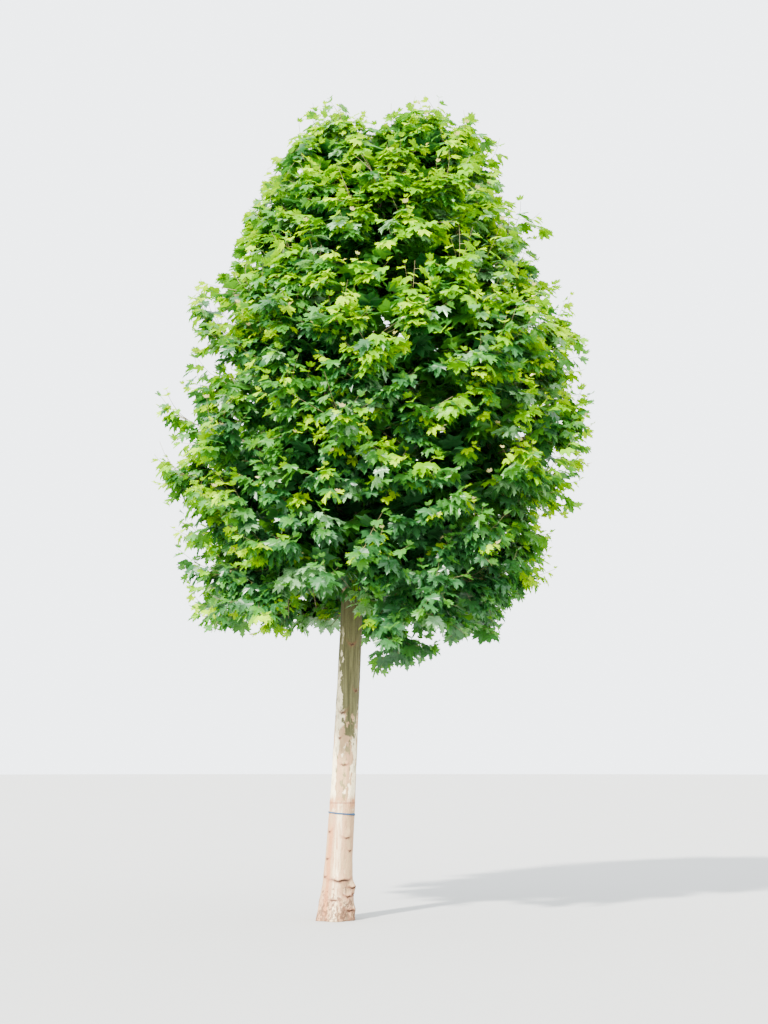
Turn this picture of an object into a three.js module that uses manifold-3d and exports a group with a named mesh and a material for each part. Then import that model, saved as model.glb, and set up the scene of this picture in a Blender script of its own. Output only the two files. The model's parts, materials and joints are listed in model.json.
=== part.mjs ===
// London plane: a clear-stemmed young tree in full summer leaf, with a leaning trunk that runs up
// through a broad egg-shaped crown. Millimetres, +Z up. The origin is the centre of the flat cut
// under the trunk at ground level. The tree is seen in the photograph from the -Y side.
//
// The crown is shared out between masses of foliage. Each mass owns the points that lie nearer to
// its centre than to any other, inside the crown's outline, so that no two masses can touch. A mass
// is a stem that carries on from its bough, a dense core of inner leaves, and twigs that stand out
// of the core to the crown's outline with kite-shaped leaves on them. Each leaf stands for a spray.

import * as THREE from "three";
import { mergeVertices } from "three/addons/utils/BufferGeometryUtils.js";
import Module from "manifold-3d";

const wasm = await Module();
wasm.setup();

const GAP = 0.3; // between two pieces that meet
const CUT_CLEARANCE = 0.36; // let out sideways, which leaves GAP between the sloping faces
const JOIN_TOLERANCE = 1; // slivers smaller than this are smoothed away where foliage is joined
const UP = new THREE.Vector3(0, 0, 1);
const GOLDEN_ANGLE = Math.PI * (3 - Math.sqrt(5));

// Trunk
const TRUNK_TOP = 7700;
const TRUNK_LEAN = 0.05; // sideways, per unit of height
const TRUNK_SWEEP = 22; // how far the stem bows out of its straight line
const STEM_RADIUS = 127; // at the ground, before the butt swells
const CROWN_BREAK = 3400; // height at which the boughs begin and the trunk tapers faster
const BREAK_RADIUS = 110;
const TIP_RADIUS = 26;
const FLARE = 40; // root flare, over FLARE_HEIGHT
const FLARE_HEIGHT = 300;
const BUTT_SWELL = 25; // slower swelling of the lowest metre
const BUTT_HEIGHT = 1000;
const ROOT_RIDGES = 5;
const ROOT_RIDGE = 17; // how far a root ridge stands out at the ground
const TRUNK_SIDES = 16;
const TRUNK_LEVELS = 26;
const LEVEL_CROWDING = 1.7; // levels lie closer together near the ground, where the burrs are
const BURR_FALL = 2; // how steeply a burr falls away round its middle

// Burrs on the lower trunk: angle from +X in degrees, height, size across and how far each stands out
const BURRS = [
  { angle: -12, height: 330, size: 75, stand: 30 },
  { angle: -38, height: 215, size: 80, stand: 24 },
  { angle: -75, height: 390, size: 95, stand: 16 },
  { angle: -20, height: 110, size: 70, stand: 26 },
  { angle: -62, height: 120, size: 80, stand: 18 },
  { angle: 60, height: 260, size: 90, stand: 22 },
  { angle: 165, height: 180, size: 90, stand: 16 },
  { angle: -50, height: 860, size: 55, stand: 10 },
];

// Marker band tied round the trunk
const BAND_HEIGHT = 1060;
const BAND_DROP = 14; // how much lower it lies on the +X side
const BAND_THICKNESS = 5; // half its width
const BAND_SIDES = 6;

// Crown outline
const CROWN_BASE = 2850;
const CROWN_WIDEST = 5500;
const CROWN_TOP = 9000;
const CROWN_RADIUS = 2190;
const BASE_SHARE = 0.72; // of CROWN_RADIUS, at the crown's base
const BASE_POWER = 1.3;
const TOP_POWER = 0.4;
const CROWN_OFFSET = 165; // the crown's middle lies to +X of the trunk's line
const NOTCH_X = 290; // the top is parted in two by a dip that runs from front to back
const NOTCH_WIDTH = 230;
const NOTCH_DEPTH = 420;
const LOBE_DEPTH = 0.035; // how far lobes stand out of the outline and dip into it, as a share
// The lobes are waves round the crown that climb it as they go: how many, how fast they turn for
// each metre of height, where they start and how much each counts.
const LOBE_WAVES = [
  { lobes: 3, climb: 2.1, phase: 0, share: 1 },
  { lobes: 5, climb: -3.3, phase: 1, share: 0.6 },
];

// Tiers of foliage, from the skirt up. Each has its height, how far out its masses' centres lie as
// a share of the crown's radius there, how many masses, where the first stands in degrees from +X,
// and how far below the centres the boughs leave the trunk.
const TIERS = [
  { name: "skirt", height: 3620, share: 0.58, masses: 5, first: 232, rise: 330 },
  { name: "lower", height: 4720, share: 0.6, masses: 5, first: 268, rise: 900 },
  { name: "middle", height: 5960, share: 0.58, masses: 5, first: 236, rise: 1150 },
  { name: "upper", height: 7150, share: 0.54, masses: 4, first: 266, rise: 1000 },
];
// The masses at the top are placed from the crown's axis. The last grows on from the trunk's tip.
const TOP_MASSES = [
  { name: "left_peak", x: -600, y: -70, height: 8080, leavesTrunk: 7000 },
  { name: "right_peak", x: 400, y: -130, height: 8120, leavesTrunk: 7180 },
  { name: "leader", x: -60, y: 430, height: 8060 },
];

// Boughs
const BOUGH_RADIUS = 44; // of the lowest bough, where it leaves the trunk
const BOUGH_TAPER_UP = 0.5; // the highest bough is this share of that
const BOUGH_TIP_SHARE = 0.5;
const BOUGH_COLLAR = 0.4; // extra girth where it leaves the trunk, as a share
const COLLAR_LENGTH = 0.12; // over this share of its length
const BOUGH_BOW = 0.14; // how far it bows upwards, as a share of its length
const BOUGH_SIDES = 6;
const BOUGH_STEPS = 4;
const BOUGH_STEP_GAP = 130; // boughs of one tier leave the trunk this far apart in height
const BOUGH_POINTS = 5; // of the curve that a bough follows
const BOUGH_STOP = 70; // how far short of its mass's core a bough ends

// Foliage
const CORE_SHARE = 0.62; // of the way from a mass's centre to the crown's outline
const INNER_SHARE = 0.86; // of the way to the border with a neighbour
const CORE_MAX = 900;
const CORE_FROM_TRUNK = 0.6; // of the way from its centre to the trunk
const CORE_ROUGHNESS = 0.14;
const STEM_SIDES = 5;
const STEM_STEPS = 2;
const STEM_BEND = 0.5; // how far the stem keeps to its bough's direction
const STEM_REACH = 0.45; // how far past the centre the stem runs, as a share of the core
const TWIG_DIRECTIONS = 14; // tried for each mass, evenly over a sphere
const TWIG_WANDER = 0.3; // how far a twig turns from its even place, in radians
const TWIG_FIRST = 0.35; // twigs leave the stem from here on, as a share of its length
const TWIG_RANGE = 0.6; // and over this share of it
const TWIG_RADIUS = 24;
const TWIG_TIP_RADIUS = 17;
const TIP_SHARE = 0.6; // the leaf at a twig's tip reaches this share of its length further out
const SIDE_LEAVES = [ // besides the leaf at its end: the place along a twig, and the turn to one side
  { place: 0.93, turn: 1.7 },
  { place: 0.9, turn: -1.7 },
];
const LEAF_LENGTH = 430;
const LEAF_SPREAD = 0.18; // how much leaves differ in length
const LEAF_THICKNESS = 0.07; // at its middle, as a share of its length
const TIP_SINK = 12; // how far the root of the leaf at a twig's end runs into it
const CORE_SINK = 30; // how far a leaf's root runs into the core
const LEAF_HANG = 48; // degrees by which a leaf hangs, away from straight out
const LEAF_HANG_SPREAD = 14;
const STEEP = 0.9; // a direction that rises or falls more than this is taken as upright
const FACES_OUT = 0.25; // a facet of the core that looks this far away from the trunk has a leaf
const LEAF_SLACK = 90; // how far a leaf may stand out of the outline
const BURIED = 15; // a leaf that adds fewer faces than this would lie in the core
const CROSSING = 30; // one that adds more would cut through others
const SPACE_MARGIN = 2; // kept clear along the border between two masses
const LIMB_MARGIN = 16; // kept clear round the trunk and boughs
const LIMB_SAMPLE = 60; // spacing of the points at which a limb is tested
const FIRST_SEED = 100;

// Rim of a leaf of length 1, from its root at the origin along +X, with the droop of each point
const LEAF_RIM = [
  { x: 0, y: 0, z: 0 },
  { x: 0.56, y: -0.44, z: -0.1 },
  { x: 1, y: 0, z: -0.1 },
  { x: 0.56, y: 0.44, z: -0.1 },
];
const LEAF_MIDDLE = 0.5;

const materials = {
  bark: new THREE.MeshStandardMaterial({ color: 0xb9ae98, roughness: 0.85, metalness: 0 }),
  boughBark: new THREE.MeshStandardMaterial({ color: 0x857c5c, roughness: 0.85, metalness: 0 }),
  foliage: new THREE.MeshStandardMaterial({ color: 0x4f8a2c, roughness: 0.55, metalness: 0 }),
  band: new THREE.MeshStandardMaterial({ color: 0x3f74a8, roughness: 0.5, metalness: 0 }),
};

// A seeded source of numbers from 0 to 1.
function seededRandom(seed) {
  let state = seed >>> 0;
  return () => {
    state = (Math.imul(state, 1664525) + 1013904223) >>> 0;
    return state / 4294967296;
  };
}

const degrees = (angle) => (angle * Math.PI) / 180;
const mix = (a, b, share) => a + (b - a) * share;

// Centre of the trunk at a height.
function trunkAxis(height) {
  const bow = TRUNK_SWEEP * Math.sin((Math.PI * height) / CROWN_BREAK);
  return new THREE.Vector3(TRUNK_LEAN * height + bow * 0.5, bow, height);
}

// Mean radius of the trunk at a height.
function trunkRadius(height) {
  const stem =
    height < CROWN_BREAK
      ? mix(STEM_RADIUS, BREAK_RADIUS, height / CROWN_BREAK)
      : mix(BREAK_RADIUS, TIP_RADIUS, (height - CROWN_BREAK) / (TRUNK_TOP - CROWN_BREAK));
  return stem + FLARE * Math.exp(-height / FLARE_HEIGHT) + BUTT_SWELL * Math.exp(-height / BUTT_HEIGHT);
}

// How far root ridges and burrs stand out of the mean radius.
function trunkRelief(angle, height) {
  const ridges = ROOT_RIDGE * Math.cos(ROOT_RIDGES * angle + 1) * Math.exp(-height / FLARE_HEIGHT);
  const burrs = BURRS.reduce((sum, burr) => {
    const turn = Math.atan2(Math.sin(angle - degrees(burr.angle)), Math.cos(angle - degrees(burr.angle)));
    const away = Math.hypot(turn * trunkRadius(burr.height), height - burr.height) / burr.size;
    return sum + burr.stand * Math.exp(-away * away * BURR_FALL);
  }, 0);
  return ridges + burrs;
}

// Radius of the crown's outline round its own axis.
function crownRadius(height) {
  if (height < CROWN_WIDEST) {
    const down = (CROWN_WIDEST - height) / (CROWN_WIDEST - CROWN_BASE);
    return CROWN_RADIUS * (1 - (1 - BASE_SHARE) * Math.pow(Math.min(down, 1), BASE_POWER));
  }
  const up = Math.min((height - CROWN_WIDEST) / (CROWN_TOP - CROWN_WIDEST), 1);
  return CROWN_RADIUS * Math.pow(1 - up, TOP_POWER);
}

function crownAxis(height) {
  const shift = CROWN_OFFSET * Math.min(Math.max((height - CROWN_BASE) / (CROWN_WIDEST - CROWN_BASE), 0), 1);
  return new THREE.Vector3(TRUNK_LEAN * height + shift, 0, height);
}

// Lobes of the outline: 1 where it is smooth, more where foliage stands out, less where it dips.
function lobes(angle, height) {
  const metres = height / 1000;
  const waves = LOBE_WAVES.reduce(
    (sum, wave) => sum + wave.share * Math.sin(wave.lobes * angle + wave.climb * metres + wave.phase),
    0,
  );
  return 1 + LOBE_DEPTH * waves;
}

// Whether a point is inside the outline, let out by a little slack.
function insideCrown(point, slack = 0) {
  const notch = NOTCH_DEPTH * Math.exp(-(((point.x - NOTCH_X) / NOTCH_WIDTH) ** 2));
  if (point.z < CROWN_BASE - slack || point.z > CROWN_TOP - notch + slack) return false;
  const axis = crownAxis(point.z);
  const angle = Math.atan2(point.y - axis.y, point.x - axis.x);
  const radius = crownRadius(point.z) * lobes(angle, point.z) + slack;
  return Math.hypot(point.x - axis.x, point.y - axis.y) < radius;
}

// A closed mesh as a solid that can be joined and cut.
function solidOf(geometry) {
  const bare = geometry.clone();
  bare.deleteAttribute("normal");
  bare.deleteAttribute("uv");
  const merged = mergeVertices(bare, 1e-3);
  return new wasm.Manifold(
    new wasm.Mesh({
      numProp: 3,
      vertProperties: merged.attributes.position.array,
      triVerts: new Uint32Array(merged.index.array),
    }),
  );
}

function geometryOf(solid) {
  const mesh = solid.getMesh();
  return new THREE.BufferGeometry()
    .setAttribute("position", new THREE.BufferAttribute(mesh.vertProperties, 3))
    .setIndex(new THREE.BufferAttribute(mesh.triVerts, 1));
}

function largestPiece(solid) {
  return solid.decompose().reduce((best, piece) => (piece.volume() > best.volume() ? piece : best));
}

// The largest piece of a solid, with scraps left out and sealed hollows filled. It is taken again
// after the vertices are merged, which can close off a hollow or a scrap of its own.
function wholePiece(solid) {
  return largestPiece(solidOf(geometryOf(largestPiece(solid))));
}

// A tapering limb along a curve: a cylinder whose rings are moved onto the curve. The start is at
// the curve's start. radiusAt takes the share of the way along it.
function limbGeometry(curve, radiusAt, sides, steps) {
  const cylinder = new THREE.CylinderGeometry(1, 1, 1, sides, steps);
  const position = cylinder.attributes.position;
  const chord = curve.getPoint(1).sub(curve.getPoint(0)).normalize();
  const reference = Math.abs(chord.z) > STEEP ? new THREE.Vector3(1, 0, 0) : UP;
  for (let i = 0; i < position.count; i++) {
    const along = position.getY(i) + 0.5;
    const tangent = curve.getTangent(along);
    const across = reference.clone().cross(tangent).normalize();
    const other = across.clone().cross(tangent);
    const radius = radiusAt(along);
    const point = curve
      .getPoint(along)
      .addScaledVector(across, position.getX(i) * radius)
      .addScaledVector(other, position.getZ(i) * radius);
    position.setXYZ(i, point.x, point.y, point.z);
  }
  return cylinder;
}

// The trunk with its flare, ridges and burrs, grown by a clearance where it is used as a cutter.
function trunkGeometry(clearance = 0) {
  const cylinder = new THREE.CylinderGeometry(1, 1, 1, TRUNK_SIDES, TRUNK_LEVELS);
  const position = cylinder.attributes.position;
  for (let i = 0; i < position.count; i++) {
    const height = TRUNK_TOP * Math.pow(position.getY(i) + 0.5, LEVEL_CROWDING);
    const angle = Math.atan2(-position.getZ(i), position.getX(i));
    const reach = Math.hypot(position.getX(i), position.getZ(i));
    const radius = reach * (trunkRadius(height) + trunkRelief(angle, height) + clearance);
    const centre = trunkAxis(height);
    position.setXYZ(i, centre.x + radius * Math.cos(angle), centre.y + radius * Math.sin(angle), height);
  }
  return cylinder;
}

// A ring that follows the trunk's sides all round, just clear of them.
function bandGeometry() {
  const ring = new THREE.TorusGeometry(2, 1, BAND_SIDES, TRUNK_SIDES);
  const position = ring.attributes.position;
  const clearance = GAP / Math.cos(Math.PI / TRUNK_SIDES);
  for (let i = 0; i < position.count; i++) {
    const angle = Math.atan2(position.getY(i), position.getX(i));
    const height = BAND_HEIGHT - BAND_DROP * Math.cos(angle);
    const outward = Math.hypot(position.getX(i), position.getY(i)) - 1;
    const stand = trunkRelief(angle, height) + clearance + BAND_THICKNESS * outward;
    const radius = trunkRadius(height) + stand;
    const centre = trunkAxis(height);
    position.setXYZ(
      i,
      centre.x + radius * Math.cos(angle),
      centre.y + radius * Math.sin(angle),
      height + BAND_THICKNESS * position.getZ(i),
    );
  }
  return ring;
}

// Every mass with its centre, and where its bough leaves the trunk, if it has one.
function crownMasses() {
  const masses = [];
  for (const tier of TIERS) {
    const axis = crownAxis(tier.height);
    for (let i = 0; i < tier.masses; i++) {
      const angle = degrees(tier.first + (360 * i) / tier.masses);
      const out = tier.share * crownRadius(tier.height);
      // masses of a tier stand alternately a little higher and lower
      const height = tier.height + (i % 2 ? -0.5 : 0.5) * BOUGH_STEP_GAP;
      masses.push({
        name: `${tier.name}_${i + 1}`,
        centre: new THREE.Vector3(axis.x + out * Math.cos(angle), axis.y + out * Math.sin(angle), height),
        leavesTrunk: tier.height - tier.rise + BOUGH_STEP_GAP * ((i * 2) % tier.masses) * 0.5,
      });
    }
  }
  for (const top of TOP_MASSES) {
    const axis = crownAxis(top.height);
    masses.push({
      name: top.name,
      centre: new THREE.Vector3(axis.x + top.x, axis.y + top.y, top.height),
      leavesTrunk: top.leavesTrunk,
    });
  }
  return masses;
}

// How far a ray from a mass's centre runs inside its space, and whether the crown's outline ends it.
function reachOf(mass, masses, direction) {
  let border = Infinity;
  for (const other of masses) {
    if (other === mass) continue;
    const between = other.centre.clone().sub(mass.centre);
    const half = between.length() / 2 - SPACE_MARGIN;
    const pace = direction.dot(between.normalize());
    if (pace > 1e-6) border = Math.min(border, half / pace);
  }
  let near = 0;
  let far = Math.min(border, 2 * CROWN_RADIUS);
  if (insideCrown(mass.centre.clone().addScaledVector(direction, far))) return { reach: far, outer: false };
  while (far - near > 1) {
    const middle = (near + far) / 2;
    if (insideCrown(mass.centre.clone().addScaledVector(direction, middle))) near = middle;
    else far = middle;
  }
  return { reach: near, outer: true };
}

// Whether a point lies in a mass's space, with the crown's outline let out by a little slack.
function inSpace(mass, masses, point) {
  if (!insideCrown(point, LEAF_SLACK)) return false;
  return masses.every((other) => {
    if (other === mass) return true;
    const between = other.centre.clone().sub(mass.centre);
    const half = between.length() / 2 - SPACE_MARGIN;
    return point.clone().sub(mass.centre).dot(between.normalize()) < half;
  });
}

// How far the core reaches along a direction: near to its neighbours, well short of the outline, and
// no further towards the trunk than a plane part of the way there.
function coreReach(mass, masses, direction) {
  const { reach, outer } = reachOf(mass, masses, direction);
  const inward = trunkAxis(Math.min(mass.centre.z, TRUNK_TOP)).sub(mass.centre);
  const pace = direction.dot(inward) / inward.length();
  const faced = pace > 0 && mass.centre.z < TRUNK_TOP;
  const toPlane = faced ? (CORE_FROM_TRUNK * inward.length()) / pace : Infinity;
  return Math.min((outer ? CORE_SHARE : INNER_SHARE) * reach, CORE_MAX, toPlane);
}

// The bough of a mass: from inside the trunk, bowed upwards, to just short of the mass's core.
function boughOf(mass, masses, radius) {
  const start = trunkAxis(mass.leavesTrunk);
  const span = mass.centre.clone().sub(start);
  const bend = start.clone().addScaledVector(span, 0.5).addScaledVector(UP, BOUGH_BOW * span.length());
  const whole = new THREE.QuadraticBezierCurve3(start, bend, mass.centre);
  const inward = whole.getTangent(1).negate();
  const stop = coreReach(mass, masses, inward) * (1 + CORE_ROUGHNESS) + BOUGH_STOP;
  const end = 1 - stop / whole.getLength();
  const shares = Array.from({ length: BOUGH_POINTS }, (_, i) => i / (BOUGH_POINTS - 1));
  const curve = new THREE.CatmullRomCurve3(shares.map((share) => whole.getPoint(end * share)));
  const tipRadius = radius * BOUGH_TIP_SHARE;
  const radiusAt = (along) =>
    mix(radius, tipRadius, along) + radius * BOUGH_COLLAR * Math.exp(-along / COLLAR_LENGTH);
  return { curve, radiusAt, tipRadius, tip: curve.getPoint(1), direction: curve.getTangent(1) };
}

// Points along a limb with the radius there, for keeping twigs and leaves clear of it.
function limbSamples(curve, radiusAt) {
  const count = Math.ceil(curve.getLength() / LIMB_SAMPLE);
  return Array.from({ length: count + 1 }, (_, i) => ({
    point: curve.getPoint(i / count),
    radius: radiusAt(i / count) + LIMB_MARGIN,
  }));
}

// The leaf: a double pyramid whose rim is the leaf's outline.
function leafGeometry(length) {
  const points = LEAF_RIM.length;
  const leaf = new THREE.SphereGeometry(1, points, 2);
  const position = leaf.attributes.position;
  for (let i = 0; i < position.count; i++) {
    const pole = Math.abs(position.getY(i)) > 0.5;
    const turn = Math.round((Math.atan2(position.getZ(i), -position.getX(i)) * points) / (2 * Math.PI));
    const rim = LEAF_RIM[(turn + points) % points];
    if (pole) position.setXYZ(i, LEAF_MIDDLE, 0, (Math.sign(position.getY(i)) * LEAF_THICKNESS) / 2);
    else position.setXYZ(i, rim.x, rim.y, rim.z);
  }
  return leaf.scale(length, length, length);
}

// A leaf's place: its root at a point, its blade along a direction, its face turned as far up as may be.
function leafFrame(root, direction) {
  const across = UP.clone().cross(direction).normalize();
  const face = direction.clone().cross(across);
  return new THREE.Matrix4().makeBasis(direction, across, face).setPosition(root);
}

function trianglesOf(geometry) {
  const flat = geometry.index ? geometry.toNonIndexed() : geometry;
  const position = flat.attributes.position;
  return Array.from({ length: position.count / 3 }, (_, i) =>
    new THREE.Triangle().setFromAttributeAndIndices(position, 3 * i, 3 * i + 1, 3 * i + 2),
  );
}

function clearOfLimbs(geometry, samples) {
  geometry.computeBoundingSphere();
  const ball = geometry.boundingSphere;
  const near = samples.filter((s) => ball.distanceToPoint(s.point) < s.radius);
  if (!near.length) return true;
  const triangles = trianglesOf(geometry);
  const closest = new THREE.Vector3();
  return near.every((s) =>
    triangles.every((t) => t.closestPointToPoint(s.point, closest).distanceTo(s.point) > s.radius),
  );
}

function pointsOf(geometry) {
  const { position } = geometry.attributes;
  return Array.from({ length: position.count }, (_, i) =>
    new THREE.Vector3().fromBufferAttribute(position, i),
  );
}

function coreGeometry(mass, masses, random) {
  const core = new THREE.IcosahedronGeometry(1, 1);
  const merged = mergeVertices(core.deleteAttribute("normal").deleteAttribute("uv"), 1e-3);
  const position = merged.attributes.position;
  for (let i = 0; i < position.count; i++) {
    const direction = new THREE.Vector3().fromBufferAttribute(position, i).normalize();
    const rough = 1 + CORE_ROUGHNESS * (2 * random() - 1);
    const point = mass.centre.clone().addScaledVector(direction, coreReach(mass, masses, direction) * rough);
    position.setXYZ(i, point.x, point.y, point.z);
  }
  return merged;
}

// The twigs of a mass: where each leaves the stem, and its direction, spread evenly over a sphere in a
// spiral.
function twigPlaces(random) {
  return Array.from({ length: TWIG_DIRECTIONS }, (_, i) => {
    const rise = 1 - (2 * (i + 0.5)) / TWIG_DIRECTIONS;
    const turn = i * GOLDEN_ANGLE + TWIG_WANDER * (random() - 0.5);
    const along = TWIG_FIRST + TWIG_RANGE * random();
    const level = Math.sqrt(1 - rise * rise);
    const direction = new THREE.Vector3(level * Math.cos(turn), level * Math.sin(turn), rise);
    return { along, direction };
  });
}

// A leaf's direction: straight out, hung down the slope of the mass, and turned to one side.
function leafDirection(outward, away, turn, random) {
  const down = Math.abs(outward.z) > STEEP ? away.clone() : UP.clone().negate();
  down.addScaledVector(outward, -down.dot(outward)).normalize();
  const side = outward.clone().cross(down);
  const slope = down.multiplyScalar(Math.cos(turn)).addScaledVector(side, Math.sin(turn));
  const hang = degrees(LEAF_HANG + LEAF_HANG_SPREAD * (2 * random() - 1));
  return outward.clone().multiplyScalar(Math.cos(hang)).addScaledVector(slope, Math.sin(hang));
}

// One mass of foliage as one solid. The cutters clear its core of the trunk and the other boughs.
function massSolid(mass, masses, start, samples, cutters, seed) {
  const random = seededRandom(seed);
  const twigs = twigPlaces(random);
  const leafLength = () => LEAF_LENGTH * (1 + LEAF_SPREAD * (2 * random() - 1));
  const onward = mass.centre.clone().sub(start.point).normalize();
  const beyond = STEM_REACH * coreReach(mass, masses, onward);
  const root = start.point.clone().addScaledVector(start.direction, GAP);
  const bend = root.clone().addScaledVector(start.direction, root.distanceTo(mass.centre) * STEM_BEND);
  const stemEnd = mass.centre.clone().addScaledVector(onward, beyond);
  const stem = new THREE.QuadraticBezierCurve3(root, bend, stemEnd);
  const stemRadius = (along) => mix(start.radius, TWIG_RADIUS, along);
  const shape = coreGeometry(mass, masses, random);
  const core = cutters.reduce((rest, cutter) => rest.subtract(cutter), solidOf(shape));
  let whole = core.add(solidOf(limbGeometry(stem, stemRadius, STEM_SIDES, STEM_STEPS)));

  const addIfClear = (geometry) => {
    if (!pointsOf(geometry).every((p) => inSpace(mass, masses, p))) return false;
    if (!clearOfLimbs(geometry, samples)) return false;
    const grown = whole.add(solidOf(geometry));
    const added = grown.numTri() - whole.numTri();
    if (added < BURIED || added > CROSSING) return false;
    whole = grown;
    return true;
  };
  const addLeaf = (point, direction, sink) => {
    const base = point.clone().addScaledVector(direction, -sink);
    addIfClear(leafGeometry(leafLength()).applyMatrix4(leafFrame(base, direction)));
  };

  const away = mass.centre.clone().sub(crownAxis(mass.centre.z)).normalize();
  for (const { along, direction } of twigs) {
    const { reach, outer } = reachOf(mass, masses, direction);
    if (!outer) continue;
    const end = mass.centre.clone().addScaledVector(direction, reach - LEAF_LENGTH * TIP_SHARE);
    const twig = new THREE.LineCurve3(stem.getPoint(along), end);
    const radiusAt = (share) => mix(TWIG_RADIUS, TWIG_TIP_RADIUS, share);
    if (!addIfClear(limbGeometry(twig, radiusAt, 3, 1))) continue;
    addLeaf(end, leafDirection(direction, away, 0, random), TIP_SINK);
    for (const { place, turn } of SIDE_LEAVES) {
      addLeaf(twig.getPoint(place), leafDirection(direction, away, turn, random), 0);
    }
  }
  for (const facet of trianglesOf(shape)) {
    const point = facet.getMidpoint(new THREE.Vector3());
    const normal = facet.getNormal(new THREE.Vector3());
    const turn = random() - 0.5;
    const { outer } = reachOf(mass, masses, point.clone().sub(mass.centre).normalize());
    if (!outer && normal.dot(away) < FACES_OUT) continue;
    addLeaf(point, leafDirection(normal, away, turn, random), CORE_SINK);
  }
  return wholePiece(whole.simplify(JOIN_TOLERANCE));
}

function named(name, geometry, material) {
  const mesh = new THREE.Mesh(geometry, material);
  mesh.name = name;
  return mesh;
}

function buildTree() {
  const tree = new THREE.Group();
  const trunk = solidOf(trunkGeometry());
  const trunkCutter = solidOf(trunkGeometry(CUT_CLEARANCE));
  tree.add(named("trunk", geometryOf(trunk), materials.bark));
  tree.add(named("marker_band", bandGeometry(), materials.band));

  const masses = crownMasses();
  const trunkCurve = new THREE.CatmullRomCurve3(
    Array.from({ length: TRUNK_LEVELS }, (_, i) => trunkAxis((TRUNK_TOP * i) / (TRUNK_LEVELS - 1))),
  );
  const samples = limbSamples(trunkCurve, (along) => trunkRadius(TRUNK_TOP * along));
  const boughs = new Map();
  const limbCutters = new Map([["trunk", solidOf(trunkGeometry(LIMB_MARGIN))]]);
  for (const mass of masses) {
    if (!mass.leavesTrunk) continue;
    const upShare = (mass.leavesTrunk - CROWN_BREAK) / (TRUNK_TOP - CROWN_BREAK);
    const bough = boughOf(mass, masses, BOUGH_RADIUS * mix(1, BOUGH_TAPER_UP, upShare));
    boughs.set(mass, bough);
    samples.push(...limbSamples(bough.curve, bough.radiusAt));
    const whole = solidOf(limbGeometry(bough.curve, bough.radiusAt, BOUGH_SIDES, BOUGH_STEPS));
    const limb = wholePiece(whole.subtract(trunkCutter));
    tree.add(named(`bough_${mass.name}`, geometryOf(limb), materials.boughBark));
    const grown = (along) => bough.radiusAt(along) + LIMB_MARGIN;
    limbCutters.set(mass, solidOf(limbGeometry(bough.curve, grown, BOUGH_SIDES, BOUGH_STEPS)));
  }

  masses.forEach((mass, i) => {
    const bough = boughs.get(mass);
    const start = bough
      ? { point: bough.tip, direction: bough.direction, radius: bough.tipRadius }
      : { point: trunkAxis(TRUNK_TOP), direction: UP, radius: TIP_RADIUS };
    const others = samples.filter((s) => s.point.distanceTo(start.point) > LIMB_SAMPLE * 2);
    const cutters = [...limbCutters].filter(([owner]) => owner !== mass).map(([, cutter]) => cutter);
    const solid = massSolid(mass, masses, start, others, cutters, FIRST_SEED + i);
    tree.add(named(`foliage_${mass.name}`, geometryOf(solid), materials.foliage));
  });
  return tree;
}

export default buildTree();
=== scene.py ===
"""London plane tree in full summer leaf: bark, boughs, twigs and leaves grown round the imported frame.

The crown grows by one seeded rule. Each mass of foliage owns the points that lie nearer to its centre
than to any other, inside the crown's outline. A bough runs from the trunk to the mass and goes on in
it as a stem, twigs spread from the stem, and leafy shoots run from the twigs to the outline. All
sizes are in metres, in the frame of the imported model, with the origin under the trunk at the ground.
"""

import json
import logging
import math
from collections.abc import Callable, Iterable, Sequence
from dataclasses import dataclass, field
from enum import Enum
from functools import cached_property

import bpy
import numpy as np
from mathutils import Euler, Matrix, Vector, noise

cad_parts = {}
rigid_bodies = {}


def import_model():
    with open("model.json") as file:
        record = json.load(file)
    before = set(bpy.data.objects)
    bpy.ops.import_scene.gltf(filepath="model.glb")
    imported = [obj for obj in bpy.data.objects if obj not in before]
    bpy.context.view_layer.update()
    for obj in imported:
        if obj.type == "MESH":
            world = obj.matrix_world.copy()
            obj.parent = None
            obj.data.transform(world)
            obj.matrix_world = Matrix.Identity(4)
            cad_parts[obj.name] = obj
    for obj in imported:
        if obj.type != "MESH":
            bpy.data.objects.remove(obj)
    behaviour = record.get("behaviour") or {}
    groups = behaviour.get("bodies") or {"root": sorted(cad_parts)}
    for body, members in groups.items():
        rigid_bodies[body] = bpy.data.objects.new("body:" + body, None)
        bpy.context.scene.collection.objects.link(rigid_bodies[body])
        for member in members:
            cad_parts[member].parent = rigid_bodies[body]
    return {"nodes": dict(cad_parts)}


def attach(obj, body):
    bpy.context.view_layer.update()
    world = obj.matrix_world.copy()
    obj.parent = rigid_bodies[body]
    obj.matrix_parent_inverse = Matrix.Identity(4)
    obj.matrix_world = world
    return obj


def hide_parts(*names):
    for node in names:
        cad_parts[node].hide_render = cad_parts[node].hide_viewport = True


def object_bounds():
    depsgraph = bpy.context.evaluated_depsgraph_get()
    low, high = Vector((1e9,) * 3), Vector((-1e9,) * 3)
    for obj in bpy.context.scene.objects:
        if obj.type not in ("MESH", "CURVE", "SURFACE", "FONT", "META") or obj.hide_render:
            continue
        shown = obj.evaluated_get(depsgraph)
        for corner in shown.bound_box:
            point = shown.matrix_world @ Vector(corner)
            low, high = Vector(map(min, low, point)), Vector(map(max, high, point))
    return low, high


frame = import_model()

CAD_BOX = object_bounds()
LOG = logging.getLogger("plane_tree")
BODY = "root"
MOST_TRIANGLES = 190_000  # in one piece

GOLDEN_ANGLE = math.pi * (3 - math.sqrt(5))
UP = np.array([0.0, 0.0, 1.0])

FOOT, TURN, LENGTH, FORM, TINT = slice(0, 3), slice(3, 6), 6, 7, 8  # the columns of a row of leaves

Triple = tuple[float, float, float]
Colour = Triple
Rim = tuple[tuple[float, float], ...]


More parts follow.
